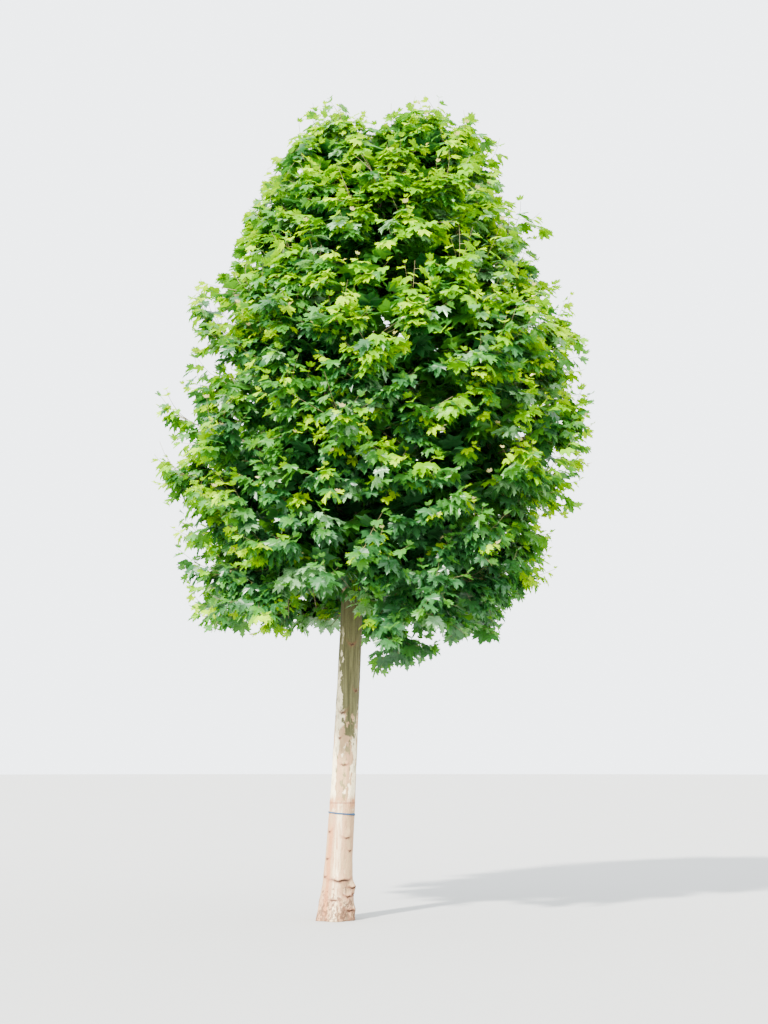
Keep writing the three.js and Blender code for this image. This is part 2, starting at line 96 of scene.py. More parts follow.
def mix(first: float, second: float, share: float | np.ndarray) -> float | np.ndarray:
    """Blend two numbers.

    Args:
        first: The value at share 0.
        second: The value at share 1.
        share: How far to go from the first to the second.

    Returns:
        The blended value.
    """
    return first + (second - first) * share


def unit(vectors: np.ndarray) -> np.ndarray:
    """Scale vectors to length 1.

    Args:
        vectors: One vector or rows of vectors.

    Returns:
        The same directions, each of length 1.
    """
    return vectors / np.maximum(np.linalg.norm(vectors, axis=-1, keepdims=True), 1e-9)


def along_line(places: float | np.ndarray, measures: np.ndarray, rows: np.ndarray) -> np.ndarray:
    """Read vectors at places along a line.

    Args:
        places: Where to read.
        measures: How far along the line each row lies.
        rows: The vectors.

    Returns:
        A vector for each place.
    """
    return np.stack([np.interp(places, measures, column) for column in rows.T], axis=-1)


def noise_at(places: Iterable[Vector]) -> np.ndarray:
    """Give the noise at places, from -1 to 1."""
    return np.array([noise.noise(place) for place in places])


class SeededNumbers:
    """A seeded source of numbers from 0 to 1, the same as the part's own."""

    FACTOR = 1664525
    STEP = 1013904223
    RANGE = 2**32

    def __init__(self, seed: int) -> None:
        """Start the source at a seed."""
        self.state = seed

    def next(self) -> float:
        """Give the next number."""
        self.state = (self.state * self.FACTOR + self.STEP) % self.RANGE
        return self.state / self.RANGE


@dataclass(frozen=True)
class Bezier:
    """A curve with one bend, from a start past a bend to an end."""

    start: np.ndarray
    bend: np.ndarray
    end: np.ndarray

    def at(self, share: float | np.ndarray) -> np.ndarray:
        """Give the points at shares of the way along."""
        s = np.asarray(share, float)[..., None]
        return (1 - s) ** 2 * self.start + 2 * s * (1 - s) * self.bend + s * s * self.end

    def heading(self, share: float | np.ndarray) -> np.ndarray:
        """Give the directions at shares of the way along."""
        s = np.asarray(share, float)[..., None]
        return unit((1 - s) * (self.bend - self.start) + s * (self.end - self.bend))

    def length(self, steps: int = 30) -> float:
        """Measure the curve along its way."""
        points = self.at(np.linspace(0, 1, steps))
        return float(np.linalg.norm(np.diff(points, axis=0), axis=1).sum())


@dataclass(frozen=True)
class TrunkShape:
    """The trunk's line and girth, as in the part."""

    top: float = 7.7
    lean: float = 0.05
    sweep: float = 0.022
    stem_radius: float = 0.127
    crown_break: float = 3.4
    break_radius: float = 0.110
    tip_radius: float = 0.026
    flare: float = 0.040
    flare_height: float = 0.3
    butt_swell: float = 0.025
    butt_height: float = 1.0
    root_ridges: int = 5
    root_ridge: float = 0.017

    def axis(self, height: float | np.ndarray) -> np.ndarray:
        """Give the trunk's centre at heights."""
        height = np.asarray(height, float)
        bow = self.sweep * np.sin(np.pi * height / self.crown_break)
        return np.stack([self.lean * height + bow * 0.5, bow, height], axis=-1)

    def radius(self, height: float | np.ndarray) -> np.ndarray:
        """Give the trunk's mean radius at heights."""
        height = np.asarray(height, float)
        low = mix(self.stem_radius, self.break_radius, height / self.crown_break)
        rise = (height - self.crown_break) / (self.top - self.crown_break)
        high = mix(self.break_radius, self.tip_radius, rise)
        stem = np.where(height < self.crown_break, low, high)
        swell = self.butt_swell * np.exp(-height / self.butt_height)
        return stem + self.flare * np.exp(-height / self.flare_height) + swell


@dataclass(frozen=True)
class CrownShape:
    """The crown's outline, as in the part."""

    lean: float = 0.05
    base: float = 2.85
    widest: float = 5.5
    top: float = 9.0
    radius: float = 2.19
    base_share: float = 0.72
    base_power: float = 1.3
    top_power: float = 0.4
    offset: float = 0.165
    notch_x: float = 0.29
    notch_width: float = 0.23
    notch_depth: float = 0.42
    lobe_depth: float = 0.035
    lobe_waves: tuple[tuple[float, ...], ...] = ((3, 2.1, 0, 1), (5, -3.3, 1, 0.6))

    def radius_at(self, height: np.ndarray) -> np.ndarray:
        """Give the outline's radius at heights."""
        down = np.clip((self.widest - height) / (self.widest - self.base), 0, 1)
        up = np.clip((height - self.widest) / (self.top - self.widest), 0, 1)
        low = self.radius * (1 - (1 - self.base_share) * down**self.base_power)
        return np.where(height < self.widest, low, self.radius * (1 - up) ** self.top_power)

    def axis(self, height: float | np.ndarray) -> np.ndarray:
        """Give the crown's middle at heights."""
        height = np.asarray(height, float)
        shift = self.offset * np.clip((height - self.base) / (self.widest - self.base), 0, 1)
        return np.stack([self.lean * height + shift, np.zeros_like(height), height], axis=-1)

    def lobes(self, angle: np.ndarray, height: np.ndarray) -> np.ndarray:
        """Give how far the outline stands out at angles and heights, as a factor near 1."""
        waves = sum(
            share * np.sin(count * angle + climb * height + phase)
            for count, climb, phase, share in self.lobe_waves
        )
        return 1 + self.lobe_depth * waves

    def notch(self, x: np.ndarray) -> np.ndarray:
        """Give how far the top dips at places from left to right."""
        return self.notch_depth * np.exp(-(((x - self.notch_x) / self.notch_width) ** 2))

    def inside(self, points: np.ndarray, slack: float | np.ndarray = 0.0) -> np.ndarray:
        """Test points against the outline.

        Args:
            points: Rows of points.
            slack: How far the outline is let out.

        Returns:
            True for each point inside.
        """
        x, y, z = points[..., 0], points[..., 1], points[..., 2]
        axis = self.axis(z)
        dx, dy = x - axis[..., 0], y - axis[..., 1]
        radius = self.radius_at(z) * self.lobes(np.arctan2(dy, dx), z) + slack
        level = (z > self.base - slack) & (z < self.top - self.notch(x) + slack)
        return level & (np.hypot(dx, dy) < radius)


@dataclass(frozen=True)
class Tier:
    """One ring of foliage masses round the trunk."""

    name: str
    height: float
    share: float
    masses: int
    first: float
    rise: float


@dataclass(frozen=True)
class TopMass:
    """A mass at the top, placed from the crown's axis, on the trunk's tip if it leaves it nowhere."""

    name: str
    x: float
    y: float
    height: float
    leaves_trunk: float | None = None


TIERS = (
    Tier("skirt", 3.62, 0.58, 5, 232, 0.33),
    Tier("lower", 4.72, 0.60, 5, 268, 0.90),
    Tier("middle", 5.96, 0.58, 5, 236, 1.15),
    Tier("upper", 7.15, 0.54, 4, 266, 1.00),
)
TOP_MASSES = (
    TopMass("left_peak", -0.60, -0.07, 8.08, 7.00),
    TopMass("right_peak", 0.40, -0.13, 8.12, 7.18),
    TopMass("leader", -0.06, 0.43, 8.06),
)


@dataclass
class Limb:
    """A limb's line with its girth, from its start to its tip."""

    points: np.ndarray
    girths: np.ndarray

    def headings(self) -> np.ndarray:
        """Give the limb's direction at each point."""
        return unit(np.gradient(self.points, axis=0))

    def joined(self, onward: "Limb") -> "Limb":
        """Give this limb together with the one that goes on from its tip."""
        points = np.concatenate([self.points, onward.points[1:]])
        return Limb(points, np.concatenate([self.girths, onward.girths[1:]]))


@dataclass
class Mass:
    """One mass of foliage: its centre, where its bough leaves the trunk, and its seed."""

    name: str
    centre: np.ndarray
    leaves_trunk: float | None
    seed: int


class Tint(Enum):
    """The leaf colours, from the shaded inside to the growing tips. The deep and mid tints also paint
    shade, the fresh tint also paints sunlight, and the silver tint is a painted sheen.
    """

    DEEP = 0
    MID = 1
    FRESH = 2
    SILVER = 3
    YOUNG = 4
    BUD = 5


class LeafForm(Enum):
    """The shapes of a blade: level, drooping, cupped, half open, and a plainer one for the inside."""

    LEVEL = 0
    DROOPING = 1
    CUPPED = 2
    YOUNG = 3
    PLAIN = 4


@dataclass
class Growth:
    """What the crown has grown: boughs with their stems, main twigs, shoots, and a row for each leaf.

    A row holds the leaf's foot on its shoot, its turn about X, Y and Z, its length, form and tint.
    """

    boughs: list[Limb]
    twigs: list[Limb]
    shoots: list[Limb]
    leaves: np.ndarray


@dataclass
class Crown:
    """The crown's masses and the rule by which boughs, twigs, shoots and leaves fill them."""

    shape: CrownShape = field(default_factory=CrownShape)
    trunk: TrunkShape = field(default_factory=TrunkShape)
    first_seed: int = 100
    step_gap: float = 0.130
    space_margin: float = 0.002
    halvings: int = 14
    core_share: float = 0.62
    inner_share: float = 0.86
    core_max: float = 0.9
    core_from_trunk: float = 0.6
    core_roughness: float = 0.14
    bough_radius: float = 0.044
    bough_taper_up: float = 0.5
    bough_tip_share: float = 0.5
    bough_collar: float = 0.4
    collar_length: float = 0.12
    bough_bow: float = 0.14
    bough_stop: float = 0.07
    limb_points: tuple[int, int, int, int] = (15, 12, 7, 6)  # along a bough, stem, twig and shoot
    stem_reach: float = 0.45
    stem_bend: float = 0.5
    twig_directions: int = 14
    twig_wander: float = 0.3
    twig_first: float = 0.35
    twig_range: float = 0.6
    twig_sag: float = 0.08
    tip_room: float = 0.258  # between a main twig's end and the outline
    stem_tip_radius: float = 0.010
    twig_radius: float = 0.009
    twig_tip_radius: float = 0.0045
    shoot_radius: float = 0.0042
    shoot_tip_radius: float = 0.0018
    shoot_least: float = 0.34
    shoot_sag: float = 0.10
    shoot_rise: float = 0.3  # how long a shoot keeps its limb's direction, as a share of its length
    shoot_lead: float = 0.25
    shoot_turn: tuple[float, float] = (1.5, 0.9)  # what a shoot's length costs, and what less straight on
    shoot_short: float = 2.5  # what each metre below the least length costs
    dome: float = 0.45  # how much higher the underside is in the middle
    profile_points: tuple[int, int, int] = (30, 160, 40)  # under the crown, up its side and on its top
    profile_top: tuple[float, float] = (8.80, 8.81)
    spiral_wander: float = 0.5
    outer_shoots: int = 2250
    inner_shoots: int = 1480
    outer_depth: float = 0.26
    outer_power: float = 1.3
    inner_depths: tuple[float, float] = (0.42, 1.30)
    front_to_back: float = 0.955  # the shoots reach this share of the outline there
    pocket_size: float = 0.18
    pocket_depth: float = 0.26
    pocket_gain: float = 1.6
    proud_share: float = 0.20
    proud_reach: float = 0.34
    proud_least: float = 0.3
    proud_lift: float = 0.5  # how far a proud shoot's tip turns up, as a share of its reach
    proud_slack: float = 0.38
    proud_from: float = -0.10  # a shoot whose tip stands further out than this is long and open
    proud_stride: float = 1.7
    proud_above: float = 0.12
    lean_back: float = 0.075  # how far the upper crown stands to the left, for each metre
    lean_from: float = 5.8
    lean_most: float = 1.6
    nudge_from: float = 0.6
    nudges: tuple[tuple[float, ...], ...] = (
        (-1, 3.3, 0.9, -0.16),
        (-1, 5.9, 0.95, -0.42),
        (1, 7.05, 0.42, -0.34),
    )  # where the sides stand in or out: side, height, half-height and how far outward
    hang: float = 0.38  # how much lower the underside hangs to the trunk's right
    hang_x: float = 0.66
    hang_width: float = 0.52
    billow_size: float = 0.85
    billow: float = 0.16
    arch: float = 0.40  # how much the ragged underside rises and falls
    arch_height: float = 0.7
    arch_pace: float = 1.3
    arch_slice: float = 4.0  # the level of the noise that it follows
    arch_share: tuple[float, float] = (0.35, 1.5)
    trunk_arch: float = 0.34  # how much higher the underside is to the trunk's left
    trunk_arch_width: float = 0.36
    trunk_arch_left: float = 0.22
    middle_low: float = 4.4
    middle_high: float = 7.3
    leaves_per_shoot: int = 10
    first_leaf: float = 0.006
    leaf_step: float = 0.048
    least_step: float = 0.85  # the shortest step between leaves, as a share
    least_size: float = 0.86
    spread: float = 0.3  # how much more the longest step and the largest leaf have
    last_leaf: float = 0.02
    half_open: int = 2  # how many leaves at a shoot's end have the young form
    facing: tuple[float, ...] = (0.45, 0.9, 0.65, 0.5)  # along the shoot, off it, outward, by chance
    trunk_clear: float = 0.02
    blade_share: Triple = (1.2, 0.6, 0.62)  # of a leaf's length: its end, its middle and its half-width
    sizes_by_rank: tuple[float, ...] = (0.070, 0.105, 0.130, 0.145, 0.155, 0.160)
    flush_sizes: tuple[float, ...] = (0.050, 0.085, 0.115, 0.135, 0.150, 0.158)
    flush_share: float = 0.43
    lit_from: float = 5.0  # below this height the leaf tints paint more and more shade, as the crown shades itself
    shaded_flush: float = 0.28  # the share of growing shoots and of painted sheen at the base, of that higher up, which paints shade there
    inner_deep: float = 0.6
    light: tuple[float, ...] = (0.8, 0.05, 0.15, -0.1)  # how much painted light the tints get: by chance, for each metre, out of the base, plain
    light_lost: float = 0.6  # painted light lost for each metre under the outline
    # the painted light from which the tints turn mid, fresh, and fresh for the newer leaves
    mid_from: float = 0.33
    fresh_from: float = 0.74
    newer_from: float = 0.50
    painted_light_spots: tuple[tuple[float, ...], ...] = (
        (1.0, 3.3, 0.75, -0.80),
        (0.9, 4.5, 0.55, 0.30),
        (0.8, 6.9, 0.80, 0.50),
        (-0.6, 5.5, 0.75, -0.32),
    )  # where the leaf tints paint light, and shade where it is below 0: from left to right, height, spread and how much
    painted_light_flush: float = 0.3  # how much of a place's painted light goes to the share of growing shoots
    older_from: int = 6
    inner_leaf: float = 0.218
    hang_top: float = 7.0
    pitch_high: float = math.radians(22)
    pitch_low: float = math.radians(42)
    pitch_spread: float = math.radians(24)
    pitch_tip: float = math.radians(-30)
    roll_spread: float = math.radians(28)
    # the share of shoots whose older leaves take a painted sheen of the sky
    painted_sheen_share: float = 0.13
    bud_share: float = 0.25
    slack: float = 0.14
    box_slack: float = 0.10
    lowest: float = 2.80
    highest: float = 8.93
    tip_room_up: tuple[float, float] = (0.04, 0.20)
    peak_pace: float = 2.6
    peak_slice: float = 3.0
    peak_fall: float = 0.34
    peak_even: float = 0.4
    shoulder_fall: float = 0.80
    shoulder_out: float = 1.40
    shoulder_most: float = 2.20
    front_fall: float = 0.42  # the top's front is lower, so that it doesn't hide the peaks
    rises: tuple[Triple, ...] = (
        (-0.08, 0.30, 0.17),
        (1.28, 0.26, 0.24),
    )  # where the peaks may stand higher: from left to right, half-width and how much
    dip_x: float = 0.46
    dip_width: float = 0.11
    dip_depth: float = 0.26
    window_half: float = 0.15
    window_top: float = 3.40
    window_back: float = 0.1
    window_leaves: float = 0.05
    window_shade: float = 2.96
    shade_leaves: float = 0.35
    crossing_shoots: tuple[tuple[int, Triple], ...] = (
        (0, (0.40, -0.30, 2.96)),
        (0, (0.46, -0.32, 3.36)),
        (0, (0.24, -0.28, 3.20)),
        (1, (0.14, -0.28, 3.42)),
    )  # those in front of the trunk: their mass and tip
    masses: list[Mass] = field(default_factory=list)

    def __post_init__(self) -> None:
        """Place the masses."""
        for tier in TIERS:
            for i in range(tier.masses):
                angle = math.radians(tier.first + 360 * i / tier.masses)
                out = tier.share * float(self.shape.radius_at(np.array(tier.height)))
                outward = np.array([math.cos(angle), math.sin(angle), 0])
                centre = self.shape.axis(tier.height) + out * outward
                centre[2] = tier.height + (-0.5 if i % 2 else 0.5) * self.step_gap
                leaves = tier.height - tier.rise + self.step_gap * ((i * 2) % tier.masses) * 0.5
                self._place(f"{tier.name}_{i + 1}", centre, leaves)
        for top in TOP_MASSES:
            centre = self.shape.axis(top.height) + np.array([top.x, top.y, 0])
            self._place(top.name, centre, top.leaves_trunk)
        self.centres = np.array([mass.centre for mass in self.masses])

    def _place(self, name: str, centre: np.ndarray, leaves_trunk: float | None) -> None:
        """Add one mass with the next seed."""
        self.masses.append(Mass(name, centre, leaves_trunk, self.first_seed + len(self.masses)))

    def reach(self, mass: Mass, directions: np.ndarray) -> tuple[np.ndarray, np.ndarray]:
        """Follow rays from a mass's centre to the edge of its space.

        Args:
            mass: The mass.
            directions: Rows of unit vectors.

        Returns:
            How far each ray runs, and whether the crown's outline ends it.
        """
        others = np.array([other.centre for other in self.masses if other is not mass]) - mass.centre
        distances = np.linalg.norm(others, axis=1)
        pace = directions @ (others / distances[:, None]).T
        borders = (distances / 2 - self.space_margin) / np.maximum(pace, 1e-6)
        far = np.minimum(np.where(pace > 1e-6, borders, np.inf).min(axis=1), 2 * self.shape.radius)
        outer = ~self.shape.inside(mass.centre + far[:, None] * directions)
        near = np.where(outer, 0, far)
        for _ in range(self.halvings):
            middle = (near + far) / 2
            within = self.shape.inside(mass.centre + middle[:, None] * directions)
            near = np.where(outer & within, middle, near)
            far = np.where(outer & ~within, middle, far)
        return near, outer

    def core_reach(self, mass: Mass, direction: np.ndarray) -> float:
        """Give how far the part's core of inner leaves reaches along a direction."""
        reach, outer = self.reach(mass, direction[None])
        inward = self.trunk.axis(min(mass.centre[2], self.trunk.top)) - mass.centre
        span = float(np.linalg.norm(inward))
        pace = float(direction @ inward) / span
        faced = pace > 0 and mass.centre[2] < self.trunk.top
        to_plane = self.core_from_trunk * span / pace if faced else math.inf
        share = self.core_share if outer[0] else self.inner_share
        return min(share * float(reach[0]), self.core_max, to_plane)

    def bough(self, mass: Mass) -> Limb | None:
        """Grow the bough that carries a mass.

        Args:
            mass: The mass.

        Returns:
            The bough from inside the trunk to its tip, or None for the leader.
        """
        if mass.leaves_trunk is None:
            return None
        start = self.trunk.axis(mass.leaves_trunk)
        span = mass.centre - start
        bend = start + span * 0.5 + UP * self.bough_bow * np.linalg.norm(span)
        whole = Bezier(start, bend, mass.centre)
        inward = -whole.heading(1.0)
        stop = self.core_reach(mass, inward) * (1 + self.core_roughness) + self.bough_stop
        end = 1 - stop / whole.length()
        up_share = (mass.leaves_trunk - self.trunk.crown_break) / (self.trunk.top - self.trunk.crown_break)
        radius = self.bough_radius * mix(1, self.bough_taper_up, up_share)
        along = np.linspace(0, 1, self.limb_points[0])
        girths = mix(radius, radius * self.bough_tip_share, along)
        girths = girths + radius * self.bough_collar * np.exp(-along / self.collar_length)
        return Limb(whole.at(along * end), girths)

    def stem(self, mass: Mass, bough: Limb | None) -> Limb:
        """Grow the stem that carries a bough on past the middle of its mass.

        Args:
            mass: The mass.
            bough: Its bough, or None where it grows on from the trunk's tip.

        Returns:
            The stem.
        """
        if bough is None:
            root, heading, radius = self.trunk.axis(self.trunk.top), UP, self.trunk.tip_radius
        else:
            root, heading, radius = bough.points[-1], bough.headings()[-1], bough.girths[-1]
        onward = unit(mass.centre - root)
        bend = root + heading * np.linalg.norm(mass.centre - root) * self.stem_bend
        end = mass.centre + onward * self.stem_reach * self.core_reach(mass, onward)
        along = np.linspace(0, 1, self.limb_points[1])
        return Limb(Bezier(root, bend, end).at(along), mix(radius, self.stem_tip_radius, along))

    def twigs(self, mass: Mass, stem: Limb) -> list[Limb]:
        """Grow the main twigs of a mass from its stem.

        Args:
            mass: The mass.
            stem: Its stem.

        Returns:
            The twigs, in the part's places and directions, each with a slight bow.
        """
        numbers = SeededNumbers(mass.seed)
        places = []
        for i in range(self.twig_directions):
            rise = 1 - 2 * (i + 0.5) / self.twig_directions
            turn = i * GOLDEN_ANGLE + self.twig_wander * (numbers.next() - 0.5)
            along = self.twig_first + self.twig_range * numbers.next()
            level = math.sqrt(1 - rise * rise)
            places.append((along, np.array([level * math.cos(turn), level * math.sin(turn), rise])))
        reaches, outers = self.reach(mass, np.array([direction for _, direction in places]))
        grown = []
        for (along, direction), reach, outer in zip(places, reaches, outers):
            foot = along_line(along, np.linspace(0, 1, len(stem.points)), stem.points)
            span = reach - self.tip_room if outer else reach * self.core_share
            tip = mass.centre + direction * span
            length = float(np.linalg.norm(tip - foot))
            bend = (foot + tip) / 2 - UP * self.twig_sag * length
            shares = np.linspace(0, 1, self.limb_points[2])
            girths = mix(self.twig_radius, self.twig_tip_radius, shares)
            grown.append(Limb(Bezier(foot, bend, tip).at(shares), girths))
        return grown

    def outline_points(self, count: int, numbers: np.random.Generator) -> np.ndarray:
        """Spread points evenly over the crown's outline, in a spiral.

        Args:
            count: How many.
            numbers: The source of their wander.

        Returns:
            Rows of points: the sides and top, and a domed underside.
        """
        shape = self.shape
        rim = float(shape.radius_at(np.array(shape.base)))
        below, beside, above = self.profile_points
        domed = shape.base + self.dome * (1 - np.linspace(0, 1, below) ** 2)
        under = np.stack([np.linspace(0, rim, below), domed], axis=1)
        side_top, cap_base = self.profile_top
        heights = [np.linspace(shape.base, side_top, beside), np.linspace(cap_base, shape.top, above)]
        heights = np.concatenate(heights)
        side = np.stack([shape.radius_at(heights), heights], axis=1)
        profile = np.concatenate([under[:-1], side])
        steps = np.linalg.norm(np.diff(profile, axis=0), axis=1)
        areas = steps * (profile[1:, 0] + profile[:-1, 0]) / 2
        total = np.concatenate([[0], np.cumsum(areas)])
        shares = (np.arange(count) + numbers.random(count)) / count * total[-1]
        radii = np.interp(shares, total, profile[:, 0])
        levels = np.interp(shares, total, profile[:, 1])
        angles = np.arange(count) * GOLDEN_ANGLE + self.spiral_wander * (numbers.random(count) - 0.5)
        radii = radii * shape.lobes(angles, levels)
        points = shape.axis(levels)
        points[:, 0] += radii * np.cos(angles)
        points[:, 1] += radii * np.sin(angles) * self.front_to_back
        points[:, 2] = np.minimum(points[:, 2], shape.top - shape.notch(points[:, 0]))
        return points

    def limb_samples(self, limbs: Sequence[Limb]) -> tuple[np.ndarray, np.ndarray]:
        """Gather the points of limbs with their directions, leaving out each limb's foot."""
        points = np.concatenate([limb.points[1:] for limb in limbs])
        headings = np.concatenate([limb.headings()[1:] for limb in limbs])
        return points, headings

    def shoot_to(self, tip: np.ndarray, points: np.ndarray, headings: np.ndarray) -> Limb:
        """Grow a shoot to a tip from the limb of its mass that reaches it at the easiest angle.

        Args:
            tip: Where the shoot ends.
            points: Places on the mass's limbs.
            headings: The limbs' directions there.

        Returns:
            The shoot.
        """
        spans = tip - points
        lengths = np.linalg.norm(spans, axis=1)
        ease = (spans * headings).sum(axis=1) / np.maximum(lengths, 1e-6)
        turned, straight = self.shoot_turn
        cost = lengths * (turned - straight * ease)
        cost += self.shoot_short * np.maximum(self.shoot_least - lengths, 0)
        best = int(np.argmin(cost))
        foot, span, length = points[best], spans[best], lengths[best]
        bend = foot + headings[best] * self.shoot_rise * length + span * self.shoot_lead
        bend = bend - UP * self.shoot_sag * length
        along = np.linspace(0, 1, self.limb_points[3])
        girths = mix(self.shoot_radius, self.shoot_tip_radius, along)
        return Limb(Bezier(foot, bend, tip).at(along), girths)

    def outward(self, points: np.ndarray) -> np.ndarray:
        """Give the directions that lead straight out of the crown at points."""
        middle = self.shape.axis(np.clip(points[..., 2], self.middle_low, self.middle_high))
        return unit(points - middle)

    def tips(self, numbers: np.random.Generator) -> tuple[np.ndarray, np.ndarray]:
        """Choose where the shoots end.

        Args:
            numbers: The source of their wander.

        Returns:
            Rows of tips, and how deep each lies under the outline.
        """
        outer = self.outline_points(self.outer_shoots, numbers)
        inner = self.outline_points(self.inner_shoots, numbers)
        hollow = noise_at(Vector(point) / self.pocket_size for point in outer)
        billows = noise_at(Vector(point) / self.billow_size for point in outer)
        depth = self.outer_depth * numbers.random(len(outer)) ** self.outer_power - self.billow * billows
        depth += self.pocket_depth * np.clip(-hollow * self.pocket_gain, 0, 1)
        proud = numbers.random(len(outer)) < self.proud_share
        reach = self.proud_reach * mix(self.proud_least, 1, numbers.random(len(outer)))
        depth = np.where(proud, -reach, depth)
        outer[:, 2] += np.where(proud, self.proud_lift * reach, 0)
        inner_depth = mix(*self.inner_depths, numbers.random(len(inner)))
        points = np.concatenate([outer, inner])
        depths = np.concatenate([depth, inner_depth])
        points = points - self.outward(points) * depths[:, None]
        base = self.shape.base
        pace = self.arch_pace
        ragged = noise_at(Vector((pace * x, pace * y, self.arch_slice)) for x, y, _ in points)
        near_base = np.clip((base + self.arch_height - points[:, 2]) / self.arch_height, 0, 1)
        beside = (points[:, 0] - self.trunk.axis(base)[0] + self.trunk_arch_left) / self.trunk_arch_width
        even, uneven = self.arch_share
        lift = self.arch * np.clip(even + uneven * ragged, 0, 1) + self.trunk_arch * np.exp(-(beside**2))
        points[:, 2] += (lift - self.hanging(points[:, 0])) * near_base
        points[:, 0] -= self.lean_back * np.clip(points[:, 2] - self.lean_from, 0, self.lean_most)
        middle = self.shape.axis(points[:, 2])[:, 0]
        for side, height, spread, outward in self.nudges:
            out = np.clip(side * (points[:, 0] - middle) - self.nudge_from, 0, 1)
            points[:, 0] += side * outward * out * np.exp(-(((points[:, 2] - height) / spread) ** 2))
        chance = numbers.random(len(points))
        room = np.where(depths < 0, -self.proud_above * chance, mix(*self.tip_room_up, chance))
        points[:, 2] = np.minimum(points[:, 2], self.ceiling(points) - room)
        low_corner, high_corner = np.array(CAD_BOX)
        slack = 0.5 * self.box_slack
        return np.clip(points, low_corner - slack, high_corner + slack), depths

    def hanging(self, x: np.ndarray) -> np.ndarray:
        """Give how much lower the underside hangs at places from left to right."""
        return self.hang * np.exp(-(((x - self.hang_x) / self.hang_width) ** 2))

    def risen(self, height: float) -> float:
        """Give how far a height is out of the shaded base of the crown, where the leaf tints paint shade,
        from 0 to 1.
        """
        return float(np.clip((height - self.shape.base) / (self.lit_from - self.shape.base), 0, 1))

    def painted_light(self, tip: np.ndarray) -> float:
        """Give how much painted light the leaf tints get round a shoot's tip, below 0 where they paint
        shade.
        """
        return sum(
            change * math.exp(-((tip[0] - x) ** 2 + (tip[2] - height) ** 2) / spread**2)
            for x, height, spread, change in self.painted_light_spots
        )

    def ceiling(self, points: np.ndarray) -> np.ndarray:
        """Give how high the crown may rise at places: in small peaks, lower at the sides and the dip."""
        rough = noise_at(Vector((x, y, self.peak_slice)) * self.peak_pace for x, y, _ in points)
        dip = self.dip_depth * np.exp(-(((points[:, 0] - self.dip_x) / self.dip_width) ** 2))
        for place, half_width, rise in self.rises:
            dip -= rise * np.exp(-(((points[:, 0] - place) / half_width) ** 2))
        front = self.front_fall * np.clip(-points[:, 1], 0, None)
        out = np.hypot(points[:, 0] - self.shape.axis(self.shape.top)[0], points[:, 1]) / self.shoulder_out
        shoulder = np.minimum(self.shoulder_fall * out**3, self.shoulder_most)
        fall = self.peak_fall * np.clip(self.peak_even - rough, 0, 1)
        return self.highest - dip - front - shoulder - fall

    def grow(self) -> Growth:
        """Grow the whole crown.

        Returns:
            Its limbs and leaves.
        """
        numbers = np.random.default_rng(self.first_seed)
        boughs, twigs, samples = [], [], []
        for mass in self.masses:
            bough = self.bough(mass)
            stem = self.stem(mass, bough)
            branches = self.twigs(mass, stem)
            boughs.append(stem if bough is None else bough.joined(stem))
            twigs.extend(branches)
            samples.append(self.limb_samples([stem, *branches]))
        tips, depths = self.tips(numbers)
        owners = np.linalg.norm(tips[:, None] - self.centres[None], axis=2).argmin(axis=1)
        ends = [(owner, tip, depth, False) for owner, tip, depth in zip(owners, tips, depths.tolist())]
        ends = [end for end in ends if not self.in_window(end[1])]
        ends += [(owner, np.array(tip), 0.0, True) for owner, tip in self.crossing_shoots]
        shoots, leaves = [], []
        for owner, tip, depth, crossing in ends:
            shoots.append(self.shoot_to(tip, *samples[owner]))
            leaves.append(self.leaves_on(shoots[-1], depth, crossing, numbers))
        return Growth(boughs, twigs, shoots, np.concatenate(leaves))

    def in_window(self, points: np.ndarray) -> np.ndarray:
        """Test which points would hide the bare trunk under the crown from the front."""
        beside = np.abs(points[..., 0] - self.trunk.axis(points[..., 2])[..., 0]) < self.window_half
        return beside & (points[..., 2] < self.window_top) & (points[..., 1] < self.window_back)

    def leaves_on(
        self, shoot: Limb, depth: float, crossing: bool, numbers: np.random.Generator
    ) -> np.ndarray:
        """Set leaves along the outer part of a shoot, each a golden angle round it from the last.

        Args:
            shoot: The shoot.
            depth: How deep its tip lies under the outline.
            crossing: Whether it is one of those that cross the trunk.
            numbers: The source of all that varies.

        Returns:
            A row for each leaf.
        """
        steps = np.linalg.norm(np.diff(shoot.points, axis=0), axis=1)
        travelled = np.concatenate([[0], np.cumsum(steps)])
        count = self.leaves_per_shoot
        rank = np.arange(count)
        stride = self.leaf_step * (self.proud_stride if depth < self.proud_from else 1)
        stride = stride * rank * (self.least_step + self.spread * numbers.random(count))
        places = travelled[-1] - (self.first_leaf + stride)
        rank, places = rank[places > self.last_leaf], places[places > self.last_leaf]
        count = len(rank)
        feet = along_line(places, travelled, shoot.points)
        along = unit(along_line(places, travelled, shoot.headings()))
        side = unit(np.cross(along, UP) + 1e-6)
        other = np.cross(side, along)
        spin = numbers.random() * 2 * math.pi + rank * GOLDEN_ANGLE
        radial = np.cos(spin)[:, None] * side + np.sin(spin)[:, None] * other
        wander = numbers.random((count, 3)) - 0.5
        onward, aside, out, astray = self.facing
        facing = onward * along + aside * radial + out * self.outward(feet) + astray * wander
        heading = np.arctan2(facing[:, 1], facing[:, 0])
        low = np.clip((self.hang_top - feet[:, 2]) / (self.hang_top - self.shape.base), 0, 1)
        pitch = mix(self.pitch_high, self.pitch_low, low)
        pitch = pitch + self.pitch_spread * (2 * numbers.random(count) - 1)
        pitch = np.where(rank == 0, self.pitch_tip, pitch)
        roll = self.roll_spread * (2 * numbers.random(count) - 1)
        height, painted_light = float(shoot.points[-1, 2]), self.painted_light(shoot.points[-1])
